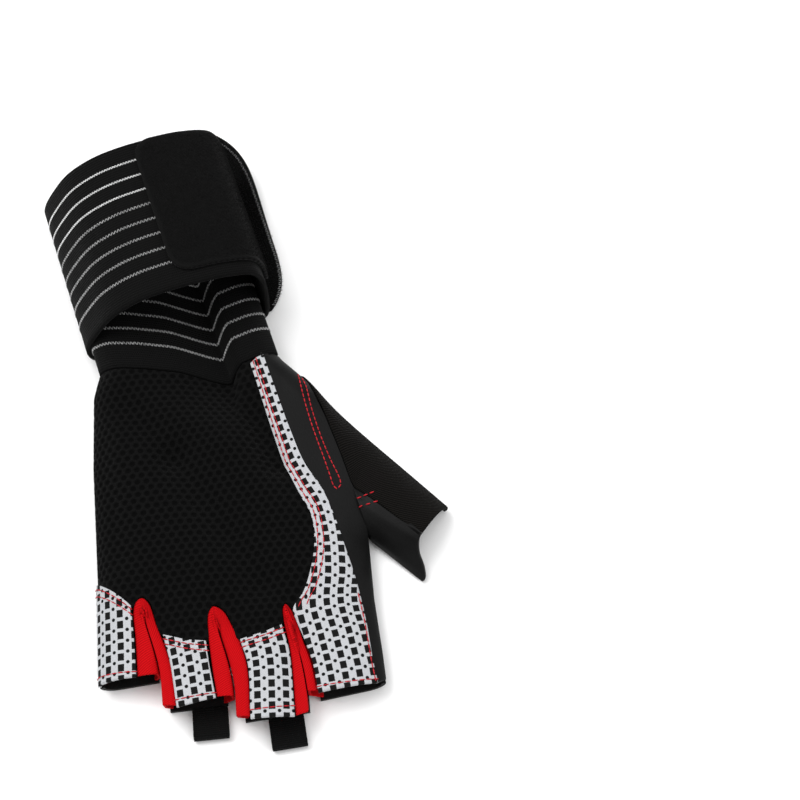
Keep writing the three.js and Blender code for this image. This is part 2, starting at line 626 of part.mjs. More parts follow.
// A strip of the band's surface, pushed out of its middle line by offset
function bandPoint(index, along, offset) {
  const from = strapPoints[clampIndex(index - 1, strapPoints.length)];
  const to = strapPoints[clampIndex(index + 1, strapPoints.length)];
  const here = strapPoints[index];
  const out = new THREE.Vector2(to.z - from.z, from.x - to.x).normalize().multiplyScalar(offset);
  return fromBand(here.x + out.x, here.y + along, here.z + out.y);
}

function wristStrap() {
  const steps = strapPoints.map((_, i) => i);
  const along = range(4).map((t) => t * bandWidth);
  const outer = steps.map((i) => along.map((a) => bandPoint(i, a, elasticWall / 2)));
  const inner = steps.map((i) => along.map((a) => bandPoint(i, a, -elasticWall / 2)));
  return closedGrid(outer, inner);
}

// Loop patch on the outer turn, round its thumb side
const facetsPastTop = 2;
const patchFrom = 0.4;          // height of the patch's lower end, as a share of wrapHeight
function loopPatch() {
  const first = strapPoints.findIndex((p, i) => i > strapSteps / 3 && p.z > patchFrom * wrapHeight);
  const top = strapPoints.reduce((best, p, i) => (p.z > strapPoints[best].z ? i : best), 0);
  const last = top + facetsPastTop;
  const count = last - first;
  const cornerSteps = 2;
  const steps = range(count).map((t) => first + Math.round(t * count));
  const inset = (i) => {
    const edge = Math.min(i - first, last - i, cornerSteps) / cornerSteps;
    return patchCorner * (1 - Math.sqrt(1 - (1 - edge) ** 2));
  };
  const face = (offset) => steps.map((i) => range(6).map((t) => bandPoint(i,
    mix(patchMargin + inset(i), patchMargin + pileWidth - inset(i), t), offset)));
  const low = elasticWall / 2 + seamGap;
  return closedGrid(face(low + pileWall), face(low));
}

// Hook tab at the end of the band, its free edge rounded and lifting at the far corner
function hookTab() {
  const end = strapPoints.at(-1);
  const start = end.y + hookSetback;
  const pointAt = (p, q) => {
    const round = 1 - Math.abs(2 * q - 1) ** 5;
    const u = end.x + seamGap + p * hookReach * mix(0.35, 1, round);
    const lift = hookLift * p * p * q * q;
    return fromBand(u, start + q * hookLength * mix(1, 0.97, p), elasticWall + lift);
  };
  return sheet(range(5), range(14), pointAt, elasticWall);
}

// Pull tab: a flattened loop of tape at the end of a finger flap
function pullTab(across, along, tilt) {
  const outer = new THREE.Shape();
  const high = pullHeight;
  outer.moveTo(0, 0);
  outer.lineTo(pullLength - high / 2, 0);
  outer.absarc(pullLength - high / 2, high / 2, high / 2, -RIGHT_ANGLE, RIGHT_ANGLE, false);
  outer.lineTo(0, pullSeam);
  outer.lineTo(0, pullSeam - tapeWall);
  outer.lineTo(pullLength - high / 2, high - tapeWall);
  outer.absarc(pullLength - high / 2, high / 2, high / 2 - tapeWall, RIGHT_ANGLE, -RIGHT_ANGLE, true);
  outer.lineTo(0, tapeWall);
  outer.closePath();
  const geometry = new THREE.ExtrudeGeometry(outer, {
    depth: pullWidth, bevelEnabled: false, curveSegments: 6,
  });
  geometry.translate(0, 0, -pullWidth / 2);
  geometry.rotateX(RIGHT_ANGLE);
  geometry.rotateZ(-RIGHT_ANGLE + tilt);
  const at = place([across, along]);
  geometry.translate(at.x, at.y, 0);
  return geometry;
}

// Materials as in the photograph
const finish = (color, roughness) => new THREE.MeshStandardMaterial({ color, roughness, metalness: 0 });
const meshFinish = finish(0x0b0b0b, 0.9);
const leatherFinish = finish(0x101010, 0.55);
const patternFinish = finish(0xb9bcbe, 0.5);
const lycraFinish = finish(0xc9090f, 0.6);
const knitFinish = finish(0x0f0e0d, 0.95);
const elasticFinish = finish(0x0a0a0b, 0.85);
const pileFinish = finish(0x121212, 1.0);

const glove = new THREE.Group();
function add(name, geometry, material) {
  const mesh = new THREE.Mesh(geometry, material);
  mesh.name = name;
  glove.add(mesh);
}

add('palm_leather', palmLeather(), leatherFinish);
add('side_leather', sideLeather(), leatherFinish);
add('back_mesh', backMesh(), meshFinish);
add('index_panel', indexPanel(), patternFinish);
for (const [name, panel] of Object.entries(fingerPanels)) add(name, fingerPanel(panel), patternFinish);
gussets.forEach((rows, i) => add(`gusset_${i + 1}`, gusset(rows), lycraFinish));
add('thumb_knit', thumbKnit(), knitFinish);
add('thumb_leather', thumbLeather(), leatherFinish);
add('wrist_strap', wristStrap(), elasticFinish);
add('loop_patch', loopPatch(), pileFinish);
add('hook_tab', hookTab(), leatherFinish);
add('pull_tab_ring', pullTab(-0.062, -0.558, 0), leatherFinish);
add('pull_tab_middle', pullTab(0.204, -0.601, 0.06), leatherFinish);

export default glove;
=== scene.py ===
# Looks of a half-finger weightlifting glove for the right hand, lying palm down.
# Lengths are in millimetres until a piece is made, and Blender gets metres.
import math
import bpy
import numpy as np
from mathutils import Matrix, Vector


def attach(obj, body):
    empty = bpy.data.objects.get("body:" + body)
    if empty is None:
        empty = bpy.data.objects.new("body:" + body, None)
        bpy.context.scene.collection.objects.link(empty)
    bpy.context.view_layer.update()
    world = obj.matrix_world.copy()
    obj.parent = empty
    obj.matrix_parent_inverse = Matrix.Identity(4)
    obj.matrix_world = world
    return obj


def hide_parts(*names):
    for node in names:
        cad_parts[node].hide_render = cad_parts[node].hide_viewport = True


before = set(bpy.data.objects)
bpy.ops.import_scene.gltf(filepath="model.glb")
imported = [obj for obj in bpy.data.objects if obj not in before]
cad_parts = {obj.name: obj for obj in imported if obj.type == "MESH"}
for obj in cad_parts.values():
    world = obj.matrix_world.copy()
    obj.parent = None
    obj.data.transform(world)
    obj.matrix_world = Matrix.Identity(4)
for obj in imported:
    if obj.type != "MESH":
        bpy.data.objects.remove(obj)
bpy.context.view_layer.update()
MM = 0.001

# Sizes of the hand, walls and gaps, as on the solid model
hand_width = 102.0
hand_length = 144.0
back_height = 18.5
finger_height = 15.5
fold_depth = 4.5
shoulder = 12.0
rim_height = 5.5
rim_round = 7.0
leather_wall = 1.6
mesh_wall = 1.6
elastic_wall = 1.8
pile_wall = 1.4
seam_gap = 0.4
curve_gap = 0.7
side_height = rim_height + seam_gap

# Thumb
thumb_turn = math.radians(48)
thumb_length = 93.0
thumb_width = 29.0
thumb_height = 15.5

# Wrist strap
band_width = 68.0
wrist_height = 20.5
wrap_height = 46.0
wrap_turn = math.radians(13)
wrap_setback = 7.5
pile_width = 62.0
hook_reach = 14.5
hook_length = 80.0
hook_lift = 13.0
hook_setback = 4.1
patch_corner = 6.0
patch_margin = 5.4

# Pull tabs
pull_width = 12.6
pull_length = 11.5
pull_height = 4.2
pull_seam = 3.15
tape_wall = 1.1

# Outlines seen from above: across is a share of hand_width, along a share of hand_length
left_contour = [
    # across, along
    (-0.402, 0.388), (-0.430, 0.319), (-0.441, 0.111), (-0.438, -0.208), (-0.445, -0.590),
]
right_contour = [
    # across, along
    (0.292, 0.390), (0.309, 0.372), (0.362, 0.331), (0.535, 0.188), (0.704, 0.042),
    (0.640, -0.056), (0.590, -0.111), (0.561, -0.153), (0.559, -0.326), (0.569, -0.465),
    (0.573, -0.600),
]
wrist_seam = [
    # across, along, top as a share of wrist_height
    (-0.402, 0.379, 0.90), (-0.333, 0.372, 0.91), (-0.227, 0.360, 0.93), (-0.091, 0.349, 0.78),
    (0.033, 0.330, 0.50), (0.085, 0.323, 0.42), (0.106, 0.324, 0.47), (0.126, 0.336, 0.78),
    (0.150, 0.349, 0.92), (0.180, 0.354, 0.95), (0.215, 0.362, 0.96), (0.250, 0.373, 0.96),
    (0.292, 0.387, 0.94),
]
knuckle_line = [
    # across, along: the three steep dips are the peaks of the gussets
    (-0.437, -0.214), (-0.363, -0.260), (-0.306, -0.300), (-0.290, -0.284), (-0.271, -0.276),
    (-0.245, -0.290), (-0.230, -0.330), (-0.210, -0.376), (-0.123, -0.400), (-0.050, -0.409),
    (-0.042, -0.345), (-0.018, -0.317), (0.020, -0.333), (0.045, -0.375), (0.062, -0.412),
    (0.152, -0.401), (0.219, -0.382), (0.224, -0.340), (0.238, -0.328), (0.262, -0.346),
]
strip_inner = [
    # across, along
    (0.179, 0.348), (0.216, 0.238), (0.250, 0.133), (0.287, 0.028), (0.324, -0.045),
    (0.357, -0.101), (0.362, -0.171), (0.344, -0.238), (0.308, -0.303), (0.264, -0.346),
    (0.290, -0.419), (0.315, -0.487), (0.326, -0.568),
]
strip_inner_mesh_rows = 10
strip_outer = [
    # across, along
    (0.225, 0.375), (0.264, 0.265), (0.307, 0.143), (0.351, 0.041), (0.405, -0.031),
    (0.442, -0.116), (0.468, -0.199), (0.493, -0.280), (0.515, -0.390), (0.525, -0.494),
    (0.534, -0.552),
]
thumb_seam = [
    # across, along
    (0.352, 0.331), (0.385, 0.300), (0.440, 0.180), (0.483, 0.070), (0.510, -0.010),
    (0.520, -0.030), (0.538, -0.090), (0.5605, -0.155), (0.5585, -0.326), (0.568, -0.465),
    (0.572, -0.538),
]
thumb_seam_knit_rows = 6
leather_edge = [(0.291, 0.389), (0.309, 0.372), (0.347, 0.340)] + thumb_seam

# Finger panels: left and right edge from knuckle to hem, then the knuckle edge
finger_panels = {
    "little_panel": (
        [(-0.438, -0.216), (-0.440, -0.330), (-0.443, -0.482)],
        [(-0.308, -0.302), (-0.304, -0.380), (-0.302, -0.481)],
        [(-0.438, -0.216), (-0.363, -0.262), (-0.308, -0.302)],
    ),
    "ring_panel": (
        [(-0.207, -0.379), (-0.186, -0.450), (-0.170, -0.572)],
        [(-0.050, -0.412), (-0.042, -0.480), (-0.028, -0.556)],
        [(-0.207, -0.379), (-0.123, -0.403), (-0.050, -0.412)],
    ),
    "middle_panel": (
        [(0.064, -0.416), (0.086, -0.480), (0.083, -0.620)],
        [(0.219, -0.386), (0.238, -0.450), (0.240, -0.622)],
        [(0.064, -0.416), (0.152, -0.404), (0.219, -0.386)],
    ),
}

# Gussets: upper edge along the finger panels, then lower edge on the palm leather
gussets = [
    (
        [(-0.300, -0.478), (-0.302, -0.380), (-0.303, -0.310), (-0.292, -0.288), (-0.271, -0.280),
         (-0.249, -0.294), (-0.226, -0.350), (-0.196, -0.418), (-0.176, -0.480), (-0.170, -0.565)],
        [(-0.244, -0.470), (-0.244, -0.440), (-0.243, -0.405), (-0.236, -0.385), (-0.222, -0.378),
         (-0.211, -0.385), (-0.203, -0.405), (-0.199, -0.440), (-0.197, -0.480), (-0.197, -0.548)],
    ),
    (
        [(-0.026, -0.552), (-0.037, -0.470), (-0.043, -0.370), (-0.036, -0.334), (-0.018, -0.321),
         (0.014, -0.334), (0.040, -0.370), (0.069, -0.425), (0.086, -0.490), (0.084, -0.612)],
        [(-0.004, -0.548), (0.000, -0.500), (0.004, -0.455), (0.013, -0.432), (0.028, -0.424),
         (0.044, -0.432), (0.055, -0.455), (0.062, -0.490), (0.064, -0.530), (0.066, -0.592)],
    ),
    (
        [(0.242, -0.618), (0.240, -0.450), (0.226, -0.366), (0.228, -0.340), (0.238, -0.331),
         (0.256, -0.346), (0.272, -0.375), (0.288, -0.425), (0.310, -0.487), (0.322, -0.560)],
        [(0.284, -0.586), (0.285, -0.530), (0.288, -0.480), (0.297, -0.450), (0.309, -0.441),
         (0.321, -0.450), (0.330, -0.470), (0.334, -0.500), (0.337, -0.530), (0.337, -0.558)],
    ),
]

# Fingertip hems of the palm leather with the slits between the fingers
palm_cut = [
    (-0.60, -0.492), (-0.238, -0.474), (-0.239, -0.412), (-0.222, -0.390), (-0.205, -0.412),
    (-0.203, -0.555), (0.002, -0.552), (0.006, -0.462), (0.028, -0.438), (0.057, -0.462),
    (0.060, -0.600), (0.290, -0.591), (0.292, -0.482), (0.309, -0.455), (0.327, -0.482),
    (0.331, -0.564), (0.70, -0.534), (0.70, -0.80), (-0.60, -0.80),
]
palm_joint = [(0.561, -0.153), (0.289, 0.383)]

# Dents and ridges of the mesh back: from start to end, width and depth as shares
folds = [
    # across, along, across, along, width of hand_width, depth of fold_depth
    (-0.30, 0.28, -0.13, 0.10, 0.055, 0.55),
    (-0.13, 0.10, 0.15, -0.27, 0.062, 0.80),
    (-0.16, 0.26, 0.06, 0.12, 0.070, -0.35),
    (0.06, 0.12, 0.24, -0.06, 0.060, -0.30),
    (0.13, 0.30, 0.25, 0.05, 0.045, 0.95),
    (-0.40, 0.16, -0.34, -0.16, 0.045, 0.25),
]
finger_gaps = (-0.240, 0.018, 0.275)
gap_width = 0.06
gap_depth = 0.17
knuckles = (-0.20, -0.42)
bow = (0.02, 0.42, 0.16)
seam_reach = 0.17

# Thumb leather from the knit down its front and under the thumb
thumb_section = [
    # base side, end side, base height, end height, base reach, end reach
    (0.784, 0.70, 1.00, 1.00, 0.617, 0.960), (0.885, 0.775, 0.97, 0.93, 0.668, 0.966),
    (0.980, 0.86, 0.85, 0.66, 0.722, 0.990), (1.045, 0.925, 0.62, 0.38, 0.766, 1.036),
    (1.075, 0.985, 0.40, 0.18, 0.790, 1.060), (1.060, 1.02, 0.12, 0.05, 0.795, 1.056),
    (0.98, 0.95, 0.00, 0.00, 0.000, 1.025), (0.60, 0.66, 0.00, 0.00, 0.000, 0.900),
    (0.30, 0.38, 0.00, 0.00, 0.000, 0.880), (0.10, 0.16, 0.00, 0.00, 0.000, 0.890),
    (0.02, 0.07, 0.04, 0.04, 0.060, 0.920), (0.00, 0.05, 0.13, 0.13, 0.060, 0.930),
]
thumb_ridge_bend = (0.730, 0.735)
thumb_ridge_end = (0.960, 0.700)
thumb_foot = ((0.095, 0.000), (0.930, 0.050))

# Strap rows before and after the first turn round the wrist
tuck_rows = [
    # share back from the first turn's right end, height in layers
    (0.16, 2.95), (0.06, 3.15),
]
wrap_rows = [
    # share across, extra layers out, height as a share of wrap_height, share of wrap_setback
    (0.000, 0.0, 0.150, 0.05), (0.025, 0.0, 0.092, 0.10), (0.100, 0.0, 0.067, 0.20),
    (0.450, 0.0, 0.067, 0.60), (0.800, 0.0, 0.067, 0.90), (0.950, 0.0, 0.067, 0.97),
    (1.000, 0.7, 0.095, 1.00), (1.000, 1.4, 0.200, 1.00), (1.000, 1.6, 0.350, 1.00),
    (1.000, 1.6, 0.520, 1.00), (1.000, 1.2, 0.720, 1.00), (0.960, 1.0, 0.870, 1.00),
    (0.850, 0.0, 0.960, 1.00), (0.690, 0.0, 0.980, 1.05), (0.510, 0.0, 0.950, 1.20),
    (0.330, 0.0, 0.860, 1.40), (0.165, 0.0, 0.700, 1.55), (0.050, 0.0, 0.480, 1.65),
    (0.000, -0.8, 0.270, 1.70), (0.000, -1.15, 0.140, 1.70), (0.000, -0.3, 0.040, 1.65),
    (0.060, 0.0, 0.0, 1.55), (0.400, 0.0, 0.0, 1.30), (0.800, 0.0, 0.0, 1.05), (1.000, 0.0, 0.0, 1.00),
]


def mix(a, b, t):
    return a + (b - a) * t


def smooth(a, b, t):
    s = np.clip((t - a) / (b - a), 0, 1)
    return s * s * (3 - 2 * s)


def press(room, soft):
    """Keeps a distance above zero, rounding off the contact."""
    return 0.5 * (room + np.sqrt(room**2 + soft**2))


def place(row):
    return np.array([row[0] * hand_width, row[1] * hand_length])


def curve_through(points):
    """A smooth centripetal curve through points, as a function of a share from 0 to 1."""
    points = np.asarray(points, float)
    last = len(points) - 1

    def at(t):
        t = np.clip(np.atleast_1d(np.asarray(t, float)), 0, 1)
        whole = np.minimum(np.floor(t * last).astype(int), last - 1)
        share = (t * last - whole)[:, None]
        before = np.where(whole[:, None] > 0, points[whole - 1], 2 * points[0] - points[1])
        after = np.where(
            whole[:, None] + 2 <= last,
            points[np.minimum(whole + 2, last)],
            2 * points[last] - points[last - 1],
        )
        here = points[whole]
        there = points[whole + 1]
        gap_a = np.linalg.norm(here - before, axis=1)[:, None] ** 0.5
        gap_b = np.linalg.norm(there - here, axis=1)[:, None] ** 0.5
        gap_c = np.linalg.norm(after - there, axis=1)[:, None] ** 0.5
        start = (here - before) / gap_a - (there - before) / (gap_a + gap_b) + (there - here) / gap_b
        end = (there - here) / gap_b - (after - here) / (gap_b + gap_c) + (after - there) / gap_c
        start = start * gap_b
        end = end * gap_b
        square = -3 * here + 3 * there - 2 * start - end
        cube = 2 * here - 2 * there + start + end
        return here + start * share + square * share**2 + cube * share**3

    return at


def curve_of(rows):
    return curve_through([place(row) for row in rows])


def column_of(rows, key, value, key_scale, value_scale, at):
    ordered = sorted(rows, key=lambda row: row[key])
    keys = [row[key] * key_scale for row in ordered]
    return np.interp(at, keys, [row[value] * value_scale for row in ordered])


def left_at(y):
    return column_of(left_contour, 1, 0, hand_length, hand_width, y)


def right_at(y):
    return column_of(right_contour, 1, 0, hand_length, hand_width, y)


seam_samples = curve_of(wrist_seam)(np.linspace(0, 1, 121))


def seam_along(x):
    return np.interp(x, seam_samples[:, 0], seam_samples[:, 1])


def quarter(d):
    return np.sqrt(1 - (1 - np.clip(d / shoulder, 0, 1)) ** 2)


def back_top(x, y):
    middle, half, drop_share = bow
    towards = smooth(*knuckles, y / hand_length)
    z = mix(back_height, finger_height, towards)
    z = z * (1 - drop_share * ((x / hand_width - middle) / half) ** 2)
    for x0, y0, x1, y1, width, depth in folds:
        start = place((x0, y0))
        run = place((x1, y1)) - start
        share = np.clip(((x - start[0]) * run[0] + (y - start[1]) * run[1]) / (run @ run), 0, 1)
        away = np.hypot(x - start[0] - share * run[0], y - start[1] - share * run[1])
        z = z - depth * fold_depth * np.exp(-((away / (width * hand_width)) ** 2))
    for gap in finger_gaps:
        away = (x / hand_width - gap) / gap_width
        z = z - gap_depth * finger_height * towards * np.exp(-(away**2))
    to_seam = smooth(seam_reach, 0.0, (seam_along(x) - y) / hand_length)
    seam_top = column_of(wrist_seam, 0, 2, hand_width, wrist_height, x)
    return mix(z, seam_top, to_seam)


def back_z(x, y):
    rounding = quarter(x - left_at(y)) * quarter(right_at(y) - x)
    return side_height + (back_top(x, y) - side_height) * rounding


def on_back(plan):
    return np.dstack([plan[..., 0], plan[..., 1], back_z(plan[..., 0], plan[..., 1])])


def below_seam(plan):
    plan = plan.copy()
    plan[..., 1] = np.minimum(plan[..., 1], seam_along(plan[..., 0]) - seam_gap)
    return plan


def coons(low, high, left, right, columns, rows):
    """Patch of the plane between four edge curves, on a grid of shares."""
    p = columns[None, :, None]
    q = rows[:, None, None]
    across = low(columns)[None] * (1 - q) + high(columns)[None] * q
    along = left(rows)[:, None] * (1 - p) + right(rows)[:, None] * p
    corners = (
        low(0.0)[0] * (1 - p) * (1 - q) + low(1.0)[0] * p * (1 - q)
        + high(0.0)[0] * (1 - p) * q + high(1.0)[0] * p * q
    )
    return across + along - corners


def straight(a, b):
    return lambda t: a + (b - a) * np.atleast_1d(t)[:, None]


def side_columns(count, width):
    """Shares across a panel, evenly spaced over the rounded left side and the top."""
    arc = shoulder * math.pi / 2
    run = np.linspace(0, arc + width - shoulder, count + 1)
    turned = shoulder * (1 - np.cos(np.minimum(run, arc) / shoulder))
    return (turned + np.maximum(run - arc, 0)) / width


def unit(vectors):
    return vectors / np.maximum(np.linalg.norm(vectors, axis=-1, keepdims=True), 1e-9)


def facing(points):
    """Unit normals of a grid of points."""
    return unit(np.cross(np.gradient(points, axis=1), np.gradient(points, axis=0)))


def cloth_lines(points, column=0.5):
    """Distances across and along the cloth, measured on it from one column."""
    middle = int(round(column * (points.shape[1] - 1)))
    steps = np.linalg.norm(np.diff(points, axis=1), axis=2)
    across = np.concatenate([np.zeros((points.shape[0], 1)), np.cumsum(steps, axis=1)], axis=1)
    across = across - across[:, middle:middle + 1]
    runs = np.linalg.norm(np.diff(points[:, middle], axis=0), axis=1)
    along = np.concatenate([[0], np.cumsum(runs)])
    return np.dstack([across, np.broadcast_to(along[:, None], across.shape)])


rim_bulge = 0.12


def closed_sheet(outer, inner, lines, every=1):
    """Vertices, faces and cloth lines of a thin sheet with a rounded rim."""
    n, m = outer.shape[:2]
    coarse = inner[::every, ::every]
    top = np.arange(n * m).reshape(n, m)
    low = n * m + np.arange(coarse.shape[0] * coarse.shape[1]).reshape(coarse.shape[:2])
    loop = [(0, j) for j in range(m - 1)] + [(i, m - 1) for i in range(n - 1)]
    loop += [(n - 1, j) for j in range(m - 1, 0, -1)] + [(i, 0) for i in range(n - 1, 0, -1)]
    rows = np.array([i for i, _ in loop])
    columns = np.array([j for _, j in loop])
    outward = unit(outer[rows, columns] - outer[np.clip(rows, 1, n - 2), np.clip(columns, 1, m - 2)])
    thick = np.linalg.norm(outer[rows, columns] - inner[rows, columns], axis=1)[:, None]
    rim = (outer[rows, columns] + inner[rows, columns]) / 2 + outward * thick * rim_bulge
    first = n * m + coarse.shape[0] * coarse.shape[1]
    count = len(loop)
    faces = np.stack([top[:-1, :-1], top[:-1, 1:], top[1:, 1:], top[1:, :-1]], -1).reshape(-1, 4).tolist()
    faces += np.stack([low[:-1, :-1], low[1:, :-1], low[1:, 1:], low[:-1, 1:]], -1).reshape(-1, 4).tolist()
    for k in range(count):
        after = (k + 1) % count
        faces.append([int(top[loop[after]]), int(top[loop[k]]), first + k, first + after])
    for k in range(0, count, every):
        after = (k + every) % count
        run = [first + (k + step) % count for step in range(every, -1, -1)]
        here = tuple(v // every for v in loop[k])
        there = tuple(v // every for v in loop[after])
        faces.append(run + [int(low[here]), int(low[there])])
    points = np.concatenate([outer.reshape(-1, 3), coarse.reshape(-1, 3), rim])
    layers = [(lines, 0.0), (lines[::every, ::every], 1.0)]
    weave = [np.dstack([part, np.full(part.shape[:2], side)]).reshape(-1, 3) for part, side in layers]
    edge = np.column_stack([lines[rows, columns], np.full(count, 0.5)])
    return points, faces, np.concatenate(weave + [edge])


def open_sheet(points):
    """Vertices and faces of one side of a grid, facing the way its rows and columns turn."""
    n, m = points.shape[:2]
    spots = np.arange(n * m).reshape(n, m)
    faces = np.stack([spots[:-1, :-1], spots[:-1, 1:], spots[1:, 1:], spots[1:, :-1]], -1)
    return points.reshape(-1, 3), faces.reshape(-1, 4).tolist()


def is_inside_out(points, faces):
    total = 0.0
    for face in faces:
        a = points[face[0]]
        for k in range(1, len(face) - 1):
            total += a @ np.cross(points[face[k]], points[face[k + 1]])
    return total < 0


def add_object(name, mesh):
    made = bpy.data.objects.new(name, mesh)
    bpy.context.scene.collection.objects.link(made)
    return made


def set_vectors(mesh, name, vectors):
    """Keeps one vector for each vertex under a name that the node trees read."""
    held = mesh.attributes.get(name) or mesh.attributes.new(name, "FLOAT_VECTOR", "POINT")
    held.data.foreach_set("vector", np.asarray(vectors, np.float32).ravel())


def make_piece(name, points, faces, weave=None, material=None, closed=True):
    """A mesh object from millimetre points, smooth shaded and facing outwards."""
    if closed and is_inside_out(points, faces):
        faces = [list(reversed(face)) for face in faces]
    mesh = bpy.data.meshes.new(name)
    mesh.from_pydata((np.asarray(points) * MM).tolist(), [], faces)
    if weave is not None:
        set_vectors(mesh, "weave", weave)
    mesh.polygons.foreach_set("use_smooth", [True] * len(mesh.polygons))
    if material:
        mesh.materials.append(material)
    return add_object(name, mesh)


def sheet_piece(name, outer, wall, lines, material, every=1):
    inner = outer - facing(outer) * wall
    return make_piece(name, *closed_sheet(outer, inner, lines, every), material)


# Wiring of node trees
class Wires:
    """Adds nodes to one tree and joins them."""

    def __init__(self, tree):
        self.tree = tree

    def feed(self, socket, value):
        if isinstance(value, bpy.types.NodeSocket):
            self.tree.links.new(value, socket)
        elif value is not None:
            socket.default_value = value

    def add(self, kind, inputs=(), **settings):
        made = self.tree.nodes.new(kind)
        for name, value in settings.items():
            setattr(made, name, value)
        pairs = inputs.items() if isinstance(inputs, dict) else enumerate(inputs)
        for key, value in pairs:
            self.feed(made.inputs[key], value)
        return made

    def sum(self, operation, *values, clamp=False):
        return self.add("ShaderNodeMath", values, operation=operation, use_clamp=clamp).outputs[0]

    def together(self, a, b):
        return self.add("ShaderNodeVectorMath", (a, b), operation="ADD").outputs[0]

    def scaled(self, vector, factor):
        made = self.add("ShaderNodeVectorMath", {0: vector, "Scale": factor}, operation="SCALE")
        return made.outputs[0]

    def fade(self, value, start, end, low=0.0, high=1.0):
        ends = (value, start, end, low, high)
        return self.add("ShaderNodeMapRange", ends, interpolation_type="SMOOTHSTEP").outputs[0]

    def between(self, share, a, b):
        return self.sum("ADD", a, self.sum("MULTIPLY", share, self.sum("SUBTRACT", b, a)))


def from_middle(wires, value, pitch, shift):
    """Signed distance from the middle of the repeat that a value falls in."""
    cell = wires.sum("FRACT", wires.sum("ADD", wires.sum("DIVIDE", value, pitch), shift))
    return wires.sum("MULTIPLY", wires.sum("SUBTRACT", cell, 0.5), pitch)


def length_of(wires, parts):
    squares = [wires.sum("MULTIPLY", part, part) for part in parts]
    return wires.sum("SQRT", wires.sum("ADD", *squares))


def eyelet_distance(wires, across, along, pitch, rows):
    """Distance to the nearest eyelet of a staggered lattice."""
    steps = ((across, pitch), (along, rows))
    return wires.sum("MINIMUM", *[
        length_of(wires, [from_middle(wires, value, step, shift) for value, step in steps])
        for shift in (0.0, 0.5)
    ])


def slanted(wires, across, along, turn):
    """Distance measured square to lines that lean by an angle."""
    return wires.sum(
        "ADD",
        wires.sum("MULTIPLY", across, math.cos(turn)),
        wires.sum("MULTIPLY", along, math.sin(turn)),
    )


# Finishes
def finish(name, colour, roughness, specular, sheen=0.0, sheen_roughness=0.5, tint=None):
    material = bpy.data.materials.new(name)
    material.use_nodes = True
    tree = material.node_tree
    shader = tree.nodes["Principled BSDF"]
    shader.inputs["Base Color"].default_value = (*colour, 1)
    shader.inputs["Roughness"].default_value = roughness
    shader.inputs["Specular IOR Level"].default_value = specular
    shader.inputs["Sheen Weight"].default_value = sheen
    shader.inputs["Sheen Roughness"].default_value = sheen_roughness
    if tint:
        shader.inputs["Sheen Tint"].default_value = (*tint, 1)
    material.diffuse_color = (*colour, 1)
    return material, Wires(tree), shader


def weave_lines(wires):
    source = wires.add("ShaderNodeAttribute", attribute_name="weave")
    apart = wires.add("ShaderNodeSeparateXYZ", (source.outputs["Vector"],))
    return apart.outputs[0], apart.outputs[1]


def object_noise(wires, size, detail=3.0):
    """Even noise in the piece's own place, with blobs of about the given millimetres."""
    spot = wires.add("ShaderNodeTexCoord").outputs["Object"]
    sizes = {"Vector": spot, "Scale": 1 / (size * MM), "Detail": detail}
    return wires.add("ShaderNodeTexNoise", sizes).outputs[0]


def raise_surface(wires, shader, height, distance, strength=1.0):
    bump = wires.add("ShaderNodeBump", {"Strength": strength, "Distance": distance * MM, "Height": height})
    wires.feed(shader.inputs["Normal"], bump.outputs[0])


def blend(wires, share, dark, light):
    """A colour between two others, each a plain colour or another node's."""
    made = wires.add("ShaderNodeMix", data_type="RGBA")
    for number, value in ((0, share), (6, dark), (7, light)):
        wires.feed(made.inputs[number], (*value, 1) if isinstance(value, tuple) else value)
    return made.outputs[2]


def tone(wires, shader, share, dark, light):
    wires.feed(shader.inputs["Base Color"], blend(wires, share, dark, light))


def grey(value, warm=0.0):
    return (value * (1 + warm), value, value * (1 - warm))


def ripple(wires, value, pitch):
    return wires.sum("SINE", wires.sum("MULTIPLY", value, 2 * math.pi / pitch))


# Spacing of the mesh's eyelets across and along it
mesh_pitch = 3.4
mesh_rows = 5.2
eyelet_radius = 1.15


def air_mesh_finish():
    material, wires, shader = finish("air_mesh", grey(0.004), 0.85, 0.05, 0.02, 0.45)
    across, along = weave_lines(wires)
    away = eyelet_distance(wires, across, along, mesh_pitch, mesh_rows)
    # The eyelets are coloured darker than the threads round them: painted shade in the holes. The fibre noise
    # adds random tone.
    rim = wires.fade(away, eyelet_radius - 0.35, eyelet_radius + 0.25)
    fibre = object_noise(wires, 0.5)
    share = wires.sum("MULTIPLY", rim, wires.fade(fibre, 0.25, 0.75, 0.55, 1.0))
    tone(wires, shader, share, grey(0.0012), grey(0.0046))
    threads = wires.sum("MULTIPLY", ripple(wires, across, 0.42), ripple(wires, along, 0.42))
    raise_surface(wires, shader, wires.sum("ADD", threads, fibre), 0.10, 0.6)
    return material


# Checks: repeat and half size, across and along, and the radius of the dots between them
check_pitch = (5.15, 4.05)
check_half = (1.18, 1.38)
check_dot = 0.66
ink_blur = 0.06
ink_wander = 0.25
satin_dark = (0.27, 0.28, 0.30)
satin_light = (0.54, 0.55, 0.57)


